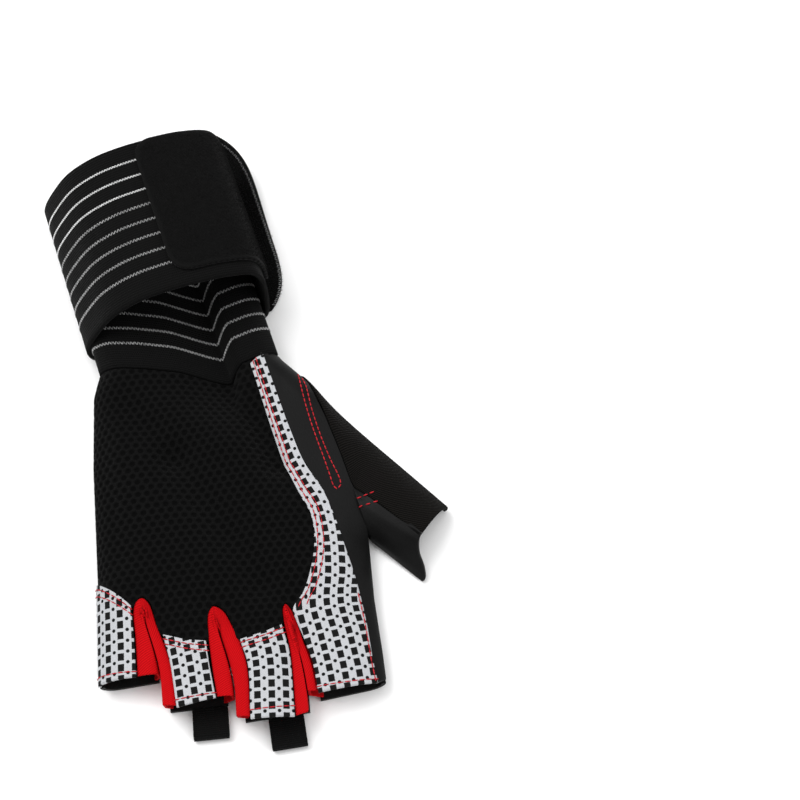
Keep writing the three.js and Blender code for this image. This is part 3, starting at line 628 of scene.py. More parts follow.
def checked_finish():
    material, wires, shader = finish("checked_satin", grey(0.6), 0.40, 0.30, 0.10, 0.3)
    across, along = weave_lines(wires)
    half = [
        wires.sum("ABSOLUTE", from_middle(wires, value, pitch, 0.5))
        for value, pitch in zip((across, along), check_pitch)
    ]
    fibre = object_noise(wires, 0.35)
    rough = wires.sum("MULTIPLY", wires.sum("SUBTRACT", fibre, 0.5), ink_wander)
    square = wires.sum("MULTIPLY", *[
        wires.fade(wires.sum("ADD", away, rough), size - ink_blur, size + ink_blur, 1.0, 0.0)
        for away, size in zip(half, check_half)
    ])
    gaps = [wires.sum("SUBTRACT", pitch / 2, away) for away, pitch in zip(half, check_pitch)]
    dot = wires.fade(length_of(wires, gaps), check_dot - ink_blur, check_dot + ink_blur, 1.0, 0.0)
    ink = wires.sum("MAXIMUM", square, dot)
    thread = wires.sum("MULTIPLY", ripple(wires, across, 0.5), ripple(wires, along, 0.36))
    shine = wires.fade(wires.sum("ADD", thread, fibre), -0.6, 1.1)
    tone(wires, shader, ink, blend(wires, shine, satin_dark, satin_light), grey(0.008))
    wires.feed(shader.inputs["Roughness"], wires.between(ink, 0.40, 0.85))
    wires.feed(shader.inputs["Specular IOR Level"], wires.between(ink, 0.30, 0.06))
    raise_surface(wires, shader, wires.sum("ADD", thread, wires.sum("MULTIPLY", ink, -1.0)), 0.06, 0.5)
    return material


def ribbed_finish(name, dark, light, pitch, turn, roughness, specular, sheen, tint=None, height=0.12):
    """Stretch or knit cloth with fine slanted ribs and cross threads."""
    material, wires, shader = finish(name, light, roughness, specular, sheen, 0.4, tint)
    across, along = weave_lines(wires)
    rib = ripple(wires, slanted(wires, across, along, turn), pitch)
    cross = ripple(wires, slanted(wires, across, along, turn + math.pi / 2), pitch * 0.8)
    fibre = object_noise(wires, 0.6)
    mixed = wires.sum("ADD", rib, wires.sum("MULTIPLY", cross, 0.35))
    # Lighter on the rib crests and darker between the ribs: painted shade in the grooves. The fibre noise
    # adds random tone.
    share = wires.sum("MULTIPLY", wires.fade(mixed, -1.1, 0.9), wires.fade(fibre, 0.2, 0.8, 0.75, 1.0))
    tone(wires, shader, share, dark, light)
    raise_surface(wires, shader, wires.sum("ADD", mixed, fibre), height, 0.7)
    return material


leather_grain = 0.9


def leather_finish(name, level, roughness):
    material, wires, shader = finish(name, grey(level), roughness, 0.11, 0.01, 0.4)
    spot = wires.add("ShaderNodeTexCoord").outputs["Object"]
    pores = wires.add("ShaderNodeTexVoronoi", {"Vector": spot, "Scale": 1 / (leather_grain * MM)})
    worn = object_noise(wires, 14.0)
    fine = object_noise(wires, 0.5)
    tone(wires, shader, wires.fade(worn, 0.3, 0.7), grey(level * 0.75), grey(level * 1.3))
    wires.feed(shader.inputs["Roughness"], wires.fade(worn, 0.25, 0.75, roughness - 0.08, roughness + 0.10))
    height = wires.sum("ADD", wires.fade(pores.outputs["Distance"], 0.0, 0.7), fine)
    raise_surface(wires, shader, height, 0.06, 0.5)
    return material


def elastic_finish():
    material, wires, shader = finish("ribbed_elastic", grey(0.004), 0.85, 0.05, 0.02, 0.4)
    across, along = weave_lines(wires)
    cords = ripple(wires, across, 1.05)
    picks = ripple(wires, along, 0.7)
    fibre = object_noise(wires, 0.5)
    height = wires.sum("ADD", wires.sum("MULTIPLY", cords, 0.7), wires.sum("MULTIPLY", picks, 0.5))
    # Lighter on the cords and picks and darker between them: painted shade in the weave's grooves. The fibre
    # noise adds random tone.
    share = wires.sum("MULTIPLY", wires.fade(height, -1.2, 1.0), wires.fade(fibre, 0.2, 0.8, 0.6, 1.0))
    tone(wires, shader, share, grey(0.0018), grey(0.0062))
    raise_surface(wires, shader, wires.sum("ADD", height, fibre), 0.14, 0.7)
    return material


def thread_finish(name, dark, light, roughness=0.5):
    material, wires, shader = finish(name, light, roughness, 0.25 * (1 - roughness), 0.02, 0.3)
    fibre = object_noise(wires, 0.7)
    tone(wires, shader, wires.fade(fibre, 0.3, 0.7), dark, light)
    return material


air_mesh = air_mesh_finish()
checked_satin = checked_finish()
# Each ribbed finish: dark and light colour, rib pitch and turn, roughness, shine and sheen
red_stretch = ribbed_finish(
    "red_stretch", (0.34, 0.0015, 0.0028), (0.55, 0.0032, 0.0064), 0.60, math.radians(-62), 0.8, 0.05, 0.02,
    (1.0, 0.35, 0.35), 0.05)
thumb_rib = ribbed_finish(
    "thumb_rib", grey(0.0018, 0.08), grey(0.0095, 0.10), 0.75, math.radians(-52), 0.95, 0.04, 0.03)
palm_hide = leather_finish("palm_leather", 0.0048, 0.60)
thumb_hide = leather_finish("thumb_leather", 0.0044, 0.56)
elastic = elastic_finish()
pile_cloth = ribbed_finish(
    "loop_pile", grey(0.003), grey(0.0075), 0.6, 0.3, 0.95, 0.04, 0.05)
hook_cloth = ribbed_finish(
    "hook_backing", grey(0.0012), grey(0.0038), 0.9, 0.0, 0.8, 0.06, 0.02)
tape = ribbed_finish(
    "pull_tape", grey(0.0018), grey(0.0048), 0.8, math.radians(90), 0.75, 0.06, 0.02)
red_thread = thread_finish("red_thread", (0.30, 0.006, 0.012), (0.55, 0.022, 0.032))
white_thread = thread_finish("white_thread", grey(0.50), grey(0.85))
grey_thread = thread_finish("grey_thread", grey(0.20), grey(0.50))
pile_fibre = thread_finish("pile_fibre", grey(0.0015), grey(0.0150), 0.9)
hook_fibre = thread_finish("hook_fibre", grey(0.0015), grey(0.0120), 0.6)


# Trees that make what repeats
def start_tree(name, sizes):
    """A tree with a piece, named sizes and a finish as its inputs."""
    tree = bpy.data.node_groups.new(name, "GeometryNodeTree")
    face = tree.interface
    face.new_socket("Piece", in_out="INPUT", socket_type="NodeSocketGeometry")
    for label, value in sizes.items():
        kind = "NodeSocketInt" if isinstance(value, int) else "NodeSocketFloat"
        kind = "NodeSocketVector" if isinstance(value, tuple) else kind
        face.new_socket(label, in_out="INPUT", socket_type=kind).default_value = value
    face.new_socket("Finish", in_out="INPUT", socket_type="NodeSocketMaterial")
    face.new_socket("Piece", in_out="OUTPUT", socket_type="NodeSocketGeometry")
    wires = Wires(tree)
    return tree, wires, wires.add("NodeGroupInput").outputs


def end_tree(wires, given, geometry):
    real = wires.add("GeometryNodeRealizeInstances", (geometry,))
    smoothed = wires.add("GeometryNodeSetShadeSmooth", (real.outputs[0],))
    coating = {"Geometry": smoothed.outputs[0], "Material": given["Finish"]}
    wires.add("NodeGroupOutput", (wires.add("GeometryNodeSetMaterial", coating).outputs[0],))


def named_vector(wires, name):
    source = wires.add("GeometryNodeInputNamedAttribute", data_type="FLOAT_VECTOR")
    source.inputs["Name"].default_value = name
    return source.outputs["Attribute"]


def weave_parts(wires):
    """Distances across and along the cloth, and the side: 0 outside and 1 inside."""
    return wires.add("ShaderNodeSeparateXYZ", (named_vector(wires, "weave"),)).outputs


def push_out(wires, given, height):
    """Moves the sheet along its normals by a height in metres, and ends the tree."""
    normal = wires.add("GeometryNodeInputNormal").outputs[0]
    moves = {"Geometry": given["Piece"], "Offset": wires.scaled(normal, height)}
    end_tree(wires, given, wires.add("GeometryNodeSetPosition", moves).outputs[0])


def lay(wires, given, points, shape, aim, length):
    """Lays a shape on each point with its length along the aim, and ends the tree."""
    turn = wires.add("FunctionNodeAlignRotationToVector", {"Vector": aim}, axis="Z").outputs[0]
    size = wires.add("ShaderNodeCombineXYZ", (given["Thickness"], given["Thickness"], length)).outputs[0]
    laid = wires.add("GeometryNodeInstanceOnPoints", {
        "Points": points, "Instance": shape, "Rotation": turn, "Scale": wires.scaled(size, MM)})
    end_tree(wires, given, laid.outputs[0])


def points_along(wires, given, line):
    spots = wires.add("GeometryNodeCurveToPoints", {"Curve": line}, mode="LENGTH")
    wires.feed(spots.inputs["Length"], wires.sum("MULTIPLY", given["Pitch"], MM))
    return spots.outputs


def held_vector(wires, geometry, name, value):
    """Keeps a vector on the geometry, to be read after its next change."""
    held = wires.add("GeometryNodeCaptureAttribute", {"Geometry": geometry})
    held.capture_items.new("VECTOR", name)
    wires.feed(held.inputs[name], value)
    return held.outputs["Geometry"], held.outputs[name]


def eyelet_tree():
    """Sinks a staggered lattice of eyelets into the outer face of a sheet."""
    tree, wires, given = start_tree("Eyelets", {"Pitch": 3.4, "Rows": 5.2, "Radius": 1.1, "Depth": 0.6})
    across, along, side = weave_parts(wires)
    away = eyelet_distance(wires, across, along, given["Pitch"], given["Rows"])
    bottom = wires.sum("MULTIPLY", given["Radius"], 0.65)
    low = wires.fade(away, bottom, wires.sum("MULTIPLY", given["Radius"], 1.25), 1.0, 0.0)
    outer = wires.sum("SUBTRACT", 1.0, side, clamp=True)
    deep = wires.sum("MULTIPLY", given["Depth"], -MM)
    push_out(wires, given, wires.sum("MULTIPLY", wires.sum("MULTIPLY", low, outer), deep))
    return tree


def rib_tree():
    """Raises slanted ribs on the outer face of a sheet."""
    tree, wires, given = start_tree("Ribs", {"Pitch": 1.0, "Turn": 0.4, "Height": 0.12})
    across, along, side = weave_parts(wires)
    slant = wires.sum(
        "ADD",
        wires.sum("MULTIPLY", across, wires.sum("COSINE", given["Turn"])),
        wires.sum("MULTIPLY", along, wires.sum("SINE", given["Turn"])),
    )
    wave = wires.sum("SINE", wires.sum("MULTIPLY", slant, wires.sum("DIVIDE", 2 * math.pi, given["Pitch"])))
    outer = wires.sum("LESS_THAN", side, 0.25)
    high = wires.sum("MULTIPLY", given["Height"], MM / 2)
    push_out(wires, given, wires.sum("MULTIPLY", wires.sum("MULTIPLY", wave, outer), high))
    return tree


def stitch_tree():
    """Lays one rounded thread after another along each line of the piece."""
    tree, wires, given = start_tree("Stitches", {"Pitch": 3.0, "Length": 2.2, "Thickness": 0.5})
    line = wires.add("GeometryNodeMeshToCurve", (given["Piece"],)).outputs[0]
    spots = points_along(wires, given, line)
    bead = wires.add("GeometryNodeMeshUVSphere", {"Segments": 8, "Rings": 5, "Radius": 0.5}).outputs[0]
    lay(wires, given, spots["Points"], bead, spots["Tangent"], given["Length"])
    return tree


def zigzag_tree():
    """Lays the slanted legs of a zigzag thread across each line of the piece."""
    tree, wires, given = start_tree("Zigzag", {"Pitch": 0.6, "Width": 1.2, "Thickness": 0.3, "Slant": 0.45})
    line = wires.add("GeometryNodeMeshToCurve", (given["Piece"],)).outputs[0]
    line, across = held_vector(wires, line, "across", named_vector(wires, "across"))
    spots = points_along(wires, given, line)
    bead = wires.add("GeometryNodeMeshIcoSphere", {"Radius": 0.5, "Subdivisions": 1}).outputs[0]
    index = wires.add("GeometryNodeInputIndex").outputs[0]
    side = wires.sum("SUBTRACT", wires.sum("MULTIPLY", wires.sum("MODULO", index, 2.0), 2.0), 1.0)
    points, tangent = held_vector(wires, spots["Points"], "tangent", spots["Tangent"])
    leaning = wires.scaled(tangent, wires.sum("MULTIPLY", side, given["Slant"]))
    lay(wires, given, points, bead, wires.together(across, leaning), given["Width"])
    return tree


def pile_tree():
    """Plants short leaning fibres on the outer face of a sheet."""
    tree, wires, given = start_tree(
        "Pile", {"Density": 3.0, "Length": 0.9, "Thickness": 0.2, "Lean": 0.8, "Seed": 7})
    per_metre = wires.sum("MULTIPLY", given["Density"], 1 / MM**2)
    spots = wires.add("GeometryNodeDistributePointsOnFaces", {
        "Mesh": given["Piece"], "Seed": given["Seed"], "Density": per_metre,
        "Selection": wires.sum("LESS_THAN", weave_parts(wires)[2], 0.4)}).outputs
    blade = wires.add("GeometryNodeMeshCone", {
        "Vertices": 3, "Side Segments": 1, "Radius Top": 0.15, "Radius Bottom": 0.5, "Depth": 1.0}).outputs[0]
    random = wires.add("FunctionNodeRandomValue", data_type="FLOAT_VECTOR")
    random.inputs[0].default_value = (-1, -1, -1)
    random.inputs[1].default_value = (1, 1, 1)
    wires.feed(random.inputs["Seed"], given["Seed"])
    aim = wires.together(spots["Normal"], wires.scaled(random.outputs[0], given["Lean"]))
    lay(wires, given, spots["Points"], blade, aim, given["Length"])
    return tree


def plain_mesh(source):
    """The source as its modifiers leave it, as a mesh of its own."""
    graph = bpy.context.evaluated_depsgraph_get()
    shaped = source.evaluated_get(graph)
    return bpy.data.meshes.new_from_object(shaped, preserve_all_data_layers=True, depsgraph=graph)


def grow(name, source, tree, material, **sizes):
    """Runs a tree on a source object and keeps only the plain mesh it makes."""
    step = source.modifiers.new(tree.name, "NODES")
    step.node_group = tree
    for item in tree.interface.items_tree:
        if item.in_out == "INPUT" and item.name in sizes:
            step[item.identifier] = sizes[item.name]
        if item.in_out == "INPUT" and item.name == "Finish":
            step[item.identifier] = material
    mesh = plain_mesh(source)
    source.modifiers.remove(step)
    mesh.name = name
    return add_object(name, mesh)


def drop(*sources):
    for source in sources:
        bpy.data.objects.remove(source)


def line_object(name, runs, across=None):
    """Open lines through millimetre points, as edges for the stitch trees."""
    points = np.concatenate(runs)
    edges = []
    start = 0
    for run in runs:
        edges += [(start + k, start + k + 1) for k in range(len(run) - 1)]
        start += len(run)
    mesh = bpy.data.meshes.new(name)
    mesh.from_pydata((points * MM).tolist(), edges, [])
    if across is not None:
        set_vectors(mesh, "across", np.concatenate(across))
    return add_object(name, mesh)


eyelets = eyelet_tree()
ribs = rib_tree()
stitches = stitch_tree()
zigzag = zigzag_tree()
pile = pile_tree()


def wear(piece, slot, *nodes):
    """The piece rides on the glove and stands for its solids; its slot is not used."""
    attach(piece, "root")
    if nodes:
        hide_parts(*nodes)


# Back mesh
knife_low = -11
knife_high = 31
crisp_angle = math.radians(55)


def cut_piece(source, outline, operation, name):
    """The source cut by an upright wall along an outline, with crisp cut edges."""
    ring = np.asarray(outline)
    count = len(ring)
    points = np.concatenate([np.column_stack([ring, np.full(count, z)]) for z in (knife_low, knife_high)])
    faces = [list(range(count)), list(range(2 * count - 1, count - 1, -1))]
    faces += [[k, (k + 1) % count, count + (k + 1) % count, count + k] for k in range(count)]
    knife = make_piece("knife", points, faces)
    knife.data.polygons.foreach_set("use_smooth", [False] * len(knife.data.polygons))
    cut = source.modifiers.new("cut", "BOOLEAN")
    cut.object = knife
    cut.operation = operation
    cut.solver = "EXACT"
    mesh = plain_mesh(source)
    source.modifiers.remove(cut)
    mesh.set_sharp_from_angle(angle=crisp_angle)
    drop(source, knife)
    return add_object(name, mesh)


def points_of(piece):
    found = np.empty(3 * len(piece.data.vertices))
    piece.data.vertices.foreach_get("co", found)
    return found.reshape(-1, 3) / MM


knuckle_share = 0.985
mesh_under_strip = 0.4
beyond_left = -60
mesh_far_right = 0.80
mesh_low_end = -0.44
mesh_high_end = 0.40
mesh_sheet_right = 0.38
mesh_hem = (1.6, 0.5)
eyelet_depth = 0.55


def mesh_outline():
    """Seen from above, the mesh cloth between the knuckles, the strip and the wrist."""
    knuckle = curve_of(knuckle_line)(np.linspace(0, knuckle_share, 240))
    strip = curve_of(strip_inner[:strip_inner_mesh_rows])(np.linspace(1, 0, 120))
    strip = strip + np.array([mesh_under_strip, 0])
    x = np.linspace(strip[-1][0], seam_samples[0, 0] - 2, 90)
    wrist = np.column_stack([x, seam_along(x) - seam_gap])
    far = np.array([[beyond_left, wrist[-1][1]], [beyond_left, knuckle[0][1]]])
    return knuckle, strip[strip[:, 1] < wrist[0][1]], wrist, far


def back_mesh():
    every = 4
    knuckle, strip, wrist, far = mesh_outline()
    columns = side_columns(45 * every, mesh_far_right * hand_width)[None]
    y = np.linspace(mesh_low_end * hand_length, mesh_high_end * hand_length, 66 * every + 1)[:, None]
    x = mix(left_at(y), mesh_sheet_right * hand_width, columns)
    outer = on_back(np.dstack([x, np.broadcast_to(y, x.shape)]))
    sheet = sheet_piece("mesh_sheet", outer, mesh_wall, outer[..., :2], air_mesh, every)
    sheet = cut_piece(sheet, np.concatenate([knuckle, strip, wrist, far]), "INTERSECT", "mesh_cut")
    points = points_of(sheet)
    border = np.concatenate([knuckle, strip, wrist])
    away = np.full(len(points), np.inf)
    for spot in border:
        away = np.minimum(away, np.hypot(points[:, 0] - spot[0], points[:, 1] - spot[1]))
    x, y, z = points.T
    turned = np.arcsin(1 - np.clip((x - left_at(y)) / shoulder, 0, 1))
    across = np.where(turned > 0, left_at(y) + shoulder * (1 - turned), x)
    under = np.abs(z - back_z(x, y)) > 0.25
    side = np.where(under, 1.0, smooth(*mesh_hem, away))
    set_vectors(sheet.data, "weave", np.column_stack([across, y * 1.02, side]))
    piece = grow("back_mesh_cloth", sheet, eyelets, air_mesh, Pitch=mesh_pitch, Rows=mesh_rows,
                 Radius=eyelet_radius, Depth=eyelet_depth)
    drop(sheet)
    wear(piece, "mesh_fabric", "back_mesh")


# Finger panels: thin satin laid a little over the mesh and the leather beside it
satin_wall = 0.5
satin_lift = 0.62
satin_overlap = 0.3
hem_length = 3.5
hem_wall = 0.8
turn_rows = 12


def satin_lines(points):
    """Distances square to a panel's middle line and along it, measured on the cloth."""
    middle = points.shape[1] // 2
    evened = np.ones(2 * turn_rows + 1) / (2 * turn_rows + 1)
    ahead = [
        np.convolve(np.pad(part, turn_rows, "edge"), evened, "valid")
        for part in np.gradient(points[:, middle], axis=0).T
    ]
    ahead = unit(np.stack(ahead, -1))
    steps = np.diff(points, axis=1)
    lengthwise = np.einsum("ijk,ik->ij", steps, ahead)
    crosswise = np.sqrt(np.maximum((steps**2).sum(-1) - lengthwise**2, 0))
    runs = np.linalg.norm(np.diff(points[:, middle], axis=0), axis=1)
    lines = []
    for part, start in ((crosswise, 0.0), (lengthwise, np.concatenate([[0], np.cumsum(runs)])[:, None])):
        total = np.concatenate([np.zeros((len(points), 1)), np.cumsum(part, axis=1)], axis=1)
        lines.append(total - total[:, middle:middle + 1] + start)
    return np.dstack(lines)


def satin_piece(name, plan, hem):
    """Satin over the back, its lower end folded under into a thicker hem."""
    push = facing(on_back(plan))
    outer = on_back(plan) + push * satin_lift
    in_hem = smooth(hem, 0.4 * hem, np.linspace(0, 1, len(plan)))
    thick = mix(satin_wall, satin_wall + hem_wall, in_hem)
    inner = outer - push * thick[:, None, None]
    return make_piece(name, *closed_sheet(outer, inner, satin_lines(outer)), checked_satin)


def finger_panel(name, left_rows, right_rows, top_rows):
    left = curve_of(left_rows)
    right = curve_of(right_rows)
    knuckle = curve_of(top_rows)
    width = right(1.0)[0, 0] - left(1.0)[0, 0]
    length = np.linalg.norm(left(1.0) - left(0.0))
    at_side = name == "little_panel"
    columns = side_columns(40, width) if at_side else np.linspace(0, 1, 33)
    columns = mix(0 if at_side else seam_gap / width, 1 - seam_gap / width, columns)
    rows = np.linspace(0, 1, 81) * (1 - 1.5 * seam_gap / length)
    plan = coons(
        straight(left(1.0)[0], right(1.0)[0]), knuckle,
        lambda q: left(1 - np.atleast_1d(q)), lambda q: right(1 - np.atleast_1d(q)), columns, rows)
    plan[..., 1] += (satin_overlap + seam_gap) * smooth(0.8, 1.0, rows)[:, None]
    wear(satin_piece(name + "_cloth", plan, hem_length / length), "checked_fabric", name)
    return plan


mesh_corner = (-0.372, -0.352)


def index_panel():
    left = curve_of(strip_inner)
    right = curve_of(strip_outer)
    columns = np.linspace(0, 1, 37)
    rows = np.linspace(0, 0.995, 201)
    edges = (
        straight(left(1.0)[0], right(1.0)[0]), straight(left(0.0)[0], right(0.0)[0]),
        lambda q: left(1 - np.atleast_1d(q)), lambda q: right(1 - np.atleast_1d(q)))
    plan = coons(*edges, columns, rows)
    middle = coons(*edges, np.array([0.5]), rows)
    width = np.linalg.norm(plan[:, -1] - plan[:, 0], axis=1)[:, None, None]
    over_mesh = smooth(*mesh_corner, plan[:, :1, 1:] / hand_length)
    spread = mix(-seam_gap, satin_overlap, over_mesh) * (1 - columns[None, :, None])
    spread = spread + satin_overlap * columns[None, :, None]
    plan = below_seam(mix(plan, middle, -spread / width))
    wear(satin_piece("index_panel_cloth", plan, hem_length / hand_length), "checked_fabric", "index_panel")
    return plan


side_soft = 0.6


def side_leather():
    left = curve_of(strip_outer)
    rows = np.linspace(0, 1, 161)
    y = mix(place(wrist_seam[-1])[1] - seam_gap, place(thumb_seam[-1])[1], rows)
    x = column_of(leather_edge, 1, 0, hand_length, hand_width, y)
    right = np.column_stack([x + seam_gap / 2, y])
    start = left(rows) - np.array([satin_overlap, 0])
    share = np.sin(np.linspace(0, math.pi / 2, 41))[None, :, None]
    plan = below_seam(mix(start[:, None], right[:, None], share))
    limit = right_at(plan[..., 1])
    plan[..., 0] = limit - press(limit - plan[..., 0], side_soft)
    outer = on_back(plan)
    piece = sheet_piece("side_leather_skin", outer, -leather_wall, cloth_lines(outer), palm_hide)
    wear(piece, "leather", "side_leather")


# Thumb
thumb_corner = place((0.309, 0.372))
thumb_axis = np.array([math.cos(thumb_turn), -math.sin(thumb_turn)])
thumb_side = np.array([math.sin(thumb_turn), math.cos(thumb_turn)])


def on_thumb(reach, side):
    reach = np.asarray(reach, float)[..., None] * thumb_length
    side = np.asarray(side, float)[..., None] * thumb_width
    return thumb_corner + thumb_axis * reach - thumb_side * side


def thumb_ridge(t):
    """Ridge of the thumb: along the seam with the hand, then out to the open end."""
    seam = curve_of(thumb_seam[:thumb_seam_knit_rows])
    t = np.atleast_1d(t)
    near = seam(np.clip(t / 0.5, 0, 1))
    share = np.clip((t - 0.5) / 0.5, 0, 1)[:, None]
    start = seam(1.0)[0]
    bent = on_thumb(*thumb_ridge_bend)
    end = on_thumb(*thumb_ridge_end)
    far = start * (1 - share) ** 2 + 2 * bent * share * (1 - share) + end * share**2
    plan = np.where(t[:, None] < 0.5, near, far)
    z = np.where(
        t < 0.5, back_z(near[:, 0], near[:, 1]),
        mix(back_z(start[0], start[1]), thumb_height, smooth(0, 0.4, share[:, 0])))
    shift = np.where(t < 0.5, curve_gap, curve_gap * (1 - share[:, 0]))
    return np.column_stack([plan[:, 0] + shift, plan[:, 1] + seam_gap / 2, z])


def joint_reach(side):
    offsets = [place(row) - thumb_corner for row in palm_joint]
    reach = [offset @ thumb_axis / thumb_length for offset in offsets]
    sides = [-(offset @ thumb_side) / thumb_width for offset in offsets]
    share = (side - sides[0]) / (sides[1] - sides[0])
    return mix(reach[0], reach[1], share) + 0.5 * seam_gap / thumb_length


# Knit: clearance over the leather's edge, and how its start sinks and narrows at the wrist
knit_rest = 0.06
knit_start = 0.06
knit_sink = (0, 0.7, 1.0)
knit_narrow = 0.35
knit_thin = 0.2
knit_turn = math.radians(-52)


def thumb_knit():
    every = 2
    q = np.linspace(0, 1, 115 * every + 1)
    angle = np.linspace(0, math.pi / 2, 45 * every + 1)[None, :, None]
    start, end = thumb_foot
    foot_plan = on_thumb(mix(start[0], end[0], q), mix(start[1], end[1], q))
    foot_height = thumb_section[-1][2] * thumb_height + knit_rest
    foot = np.column_stack([foot_plan, np.full(len(q), foot_height)])[:, None]
    top = (thumb_ridge(q) - np.outer(smooth(knit_start, 0, q), knit_sink))[:, None]
    spread = mix(knit_narrow, 1.0, smooth(0, knit_start, q))[:, None, None]
    foot[..., :2] = mix(top[..., :2], foot[..., :2], spread)
    across = mix(top[..., :2], foot[..., :2], np.sin(angle))
    height = mix(foot[..., 2:], top[..., 2:], np.cos(angle))
    outer = np.concatenate([across, np.broadcast_to(height, across.shape[:2] + (1,))], axis=2)
    wall = leather_wall * mix(knit_thin, 1.0, smooth(0, 0.10, q))[:, None, None]
    inner = outer + facing(outer) * wall
    sheet = make_piece("knit_sheet", *closed_sheet(outer, inner, cloth_lines(outer), every), thumb_rib)
    piece = grow("thumb_knit_cloth", sheet, ribs, thumb_rib, Pitch=0.75, Turn=knit_turn, Height=0.12)
    drop(sheet)
    wear(piece, "knit", "thumb_knit")
    return outer


def thumb_leather():
    table = np.array(thumb_section)
    for row in table:
        if row[2] <= 0:
            row[4] = joint_reach(row[0])
    last = len(table) - 1
    p = np.linspace(0, 1, 8 * last + 1)
    columns = curve_through(table)(p).T
    columns[2:4] = np.maximum(columns[2:4], 0)
    q = np.linspace(0, 1, 61)[:, None]
    plain = on_thumb(mix(columns[4], columns[5], q), mix(columns[0], columns[1], q))
    low = np.dstack([plain, mix(columns[2], columns[3], q) * thumb_height])
    ridge = thumb_ridge(mix(0.5, 1, q[:, 0]))
    ridge[:, :2] -= thumb_side * 1.5 * seam_gap
    share = np.clip(1 - p * last, 0, 1)[None, :, None]
    outer = mix(low, ridge[:, None], share)
    piece = sheet_piece("thumb_leather_skin", outer, leather_wall, cloth_lines(outer), thumb_hide)
    wear(piece, "leather", "thumb_leather")
    return outer


# Palm leather
palm_end = -0.62
crotch_blend = 5.0


def palm_leather():
    corner, top = place(palm_joint[0]), place(palm_joint[1])
    last = top[1]
    first = palm_end * hand_length
    bend = np.sin(np.linspace(0, math.pi / 2, 9))
    p = np.concatenate([-bend[::-1], np.linspace(0, 1, 41)[1:-1], 1 + bend])[None]
    y = mix(first, last, np.linspace(0, 1, 81))[:, None]
    joint = mix(corner[0], top[0], (y - corner[1]) / (top[1] - corner[1]))
    right = np.where(y < corner[1], right_at(y), joint) - seam_gap
    left = left_at(y)
    rise = smooth(corner[1] + crotch_blend, corner[1] - crotch_blend, y)
    turn = np.maximum(np.maximum(-p, p - 1), 0)
    lift = rim_height * (1 - np.sqrt(1 - turn**2))
    x = mix(left + rim_round, right - rim_round, p)
    x = np.where(p < 0, left + rim_round * (1 - turn), x)
    x = np.where(p > 1, right - rim_round * (1 - turn), x)
    z = np.where(p > 1, rise * lift, np.where(p < 0, lift, 0))
    outer = np.dstack([x, np.broadcast_to(y, x.shape), z])
    tray = sheet_piece("tray", outer, -leather_wall, cloth_lines(outer), palm_hide)
    piece = cut_piece(tray, [place(row) for row in palm_cut], "DIFFERENCE", "palm_leather_skin")
    wear(piece, "leather", "palm_leather")


# Gussets: both legs of the stretch cloth roll towards each other and meet in a crease
creases = [
    # share of the gap's width from its left side, below the peak and at the hem
    (0.50, 0.62), (0.36, 0.54), (0.42, 0.58),
]
roll_fall = 1.9
leg_roll = 6.5
peak_roll = 2.2
peak_reach = 0.28
leg_puff = 1.5
puff_end = 0.45
crease_gap = 0.15
crease_soft = 0.8
under_panel = 0.5
stretch_wall = 1.0
stretch_rim = 0.3


def gusset(number, upper_rows, lower_rows):
    upper = curve_of(upper_rows)
    lower = curve_of(lower_rows)
    q = np.linspace(0, 1, 221)
    p = np.linspace(0, 1, 49)[None]
    top_plan = upper(q)
    low_plan = lower(q)
    peak = int(np.argmax(top_plan[:, 1]))
    along = unit(lower(q + 0.02) - lower(q - 0.02))
    inward = np.column_stack([along[:, 1], -along[:, 0]])[:, None]
    from_peak = np.abs(q - q[peak])
    leg = smooth(0, peak_reach, from_peak)
    roll = mix(peak_roll, leg_roll, leg)[:, None] * np.sin(p * math.pi)
    plan = mix(top_plan[:, None], low_plan[:, None], p[..., None]) + inward * roll[..., None]
    x, y = plan[..., 0], plan[..., 1]
    left_side = np.interp(y, top_plan[:peak + 1, 1], top_plan[:peak + 1, 0])
    right_side = np.interp(y, top_plan[peak:, 1][::-1], top_plan[peak:, 0][::-1])
    near, far = creases[number - 1]
    crease = mix(left_side, right_side, mix(far, near, smooth(low_plan[0, 1], top_plan[peak, 1], y)))
    on_left = (np.arange(len(q)) < peak)[:, None]
    room = np.where(on_left, crease - x, x - crease) - crease_gap
    room = np.where(p > 0, press(room, crease_soft * np.sin(p * math.pi)), room)
    x = np.where(on_left, crease - crease_gap - room, crease + crease_gap + room)
    top_z = back_z(top_plan[:, 0], top_plan[:, 1])[:, None] - under_panel
    foot = leather_wall + seam_gap
    fuller = mix(0.6, 1.0, smooth(0.5, 0.15, from_peak))[:, None]
    puff = leg_puff * np.sin(np.clip(p / puff_end, 0, 1) * math.pi) * fuller
    z = mix(top_z, foot, p**roll_fall) + puff
    outer = np.dstack([x, y, z])
    thick = mix(stretch_rim, stretch_wall, smooth(0, 0.3, p))[..., None]
    piece = sheet_piece(f"gusset_{number}_cloth", outer, thick, cloth_lines(outer), red_stretch)
    wear(piece, "red_stretch", f"gusset_{number}")


# Strap
band_across = np.array([math.cos(wrap_turn), math.sin(wrap_turn)])
band_axis = np.array([-math.sin(wrap_turn), math.cos(wrap_turn)])
layer = elastic_wall + seam_gap
floor_layer = elastic_wall / 2
strap_pitch = 4.0


def from_band(u, w, z):
    """Points of the glove from distances across the band's turns, along its axis and up."""
    x = u * band_across[0] + w * band_axis[0]
    y = u * band_across[1] + w * band_axis[1]
    return np.stack([x, y, z], axis=-1)


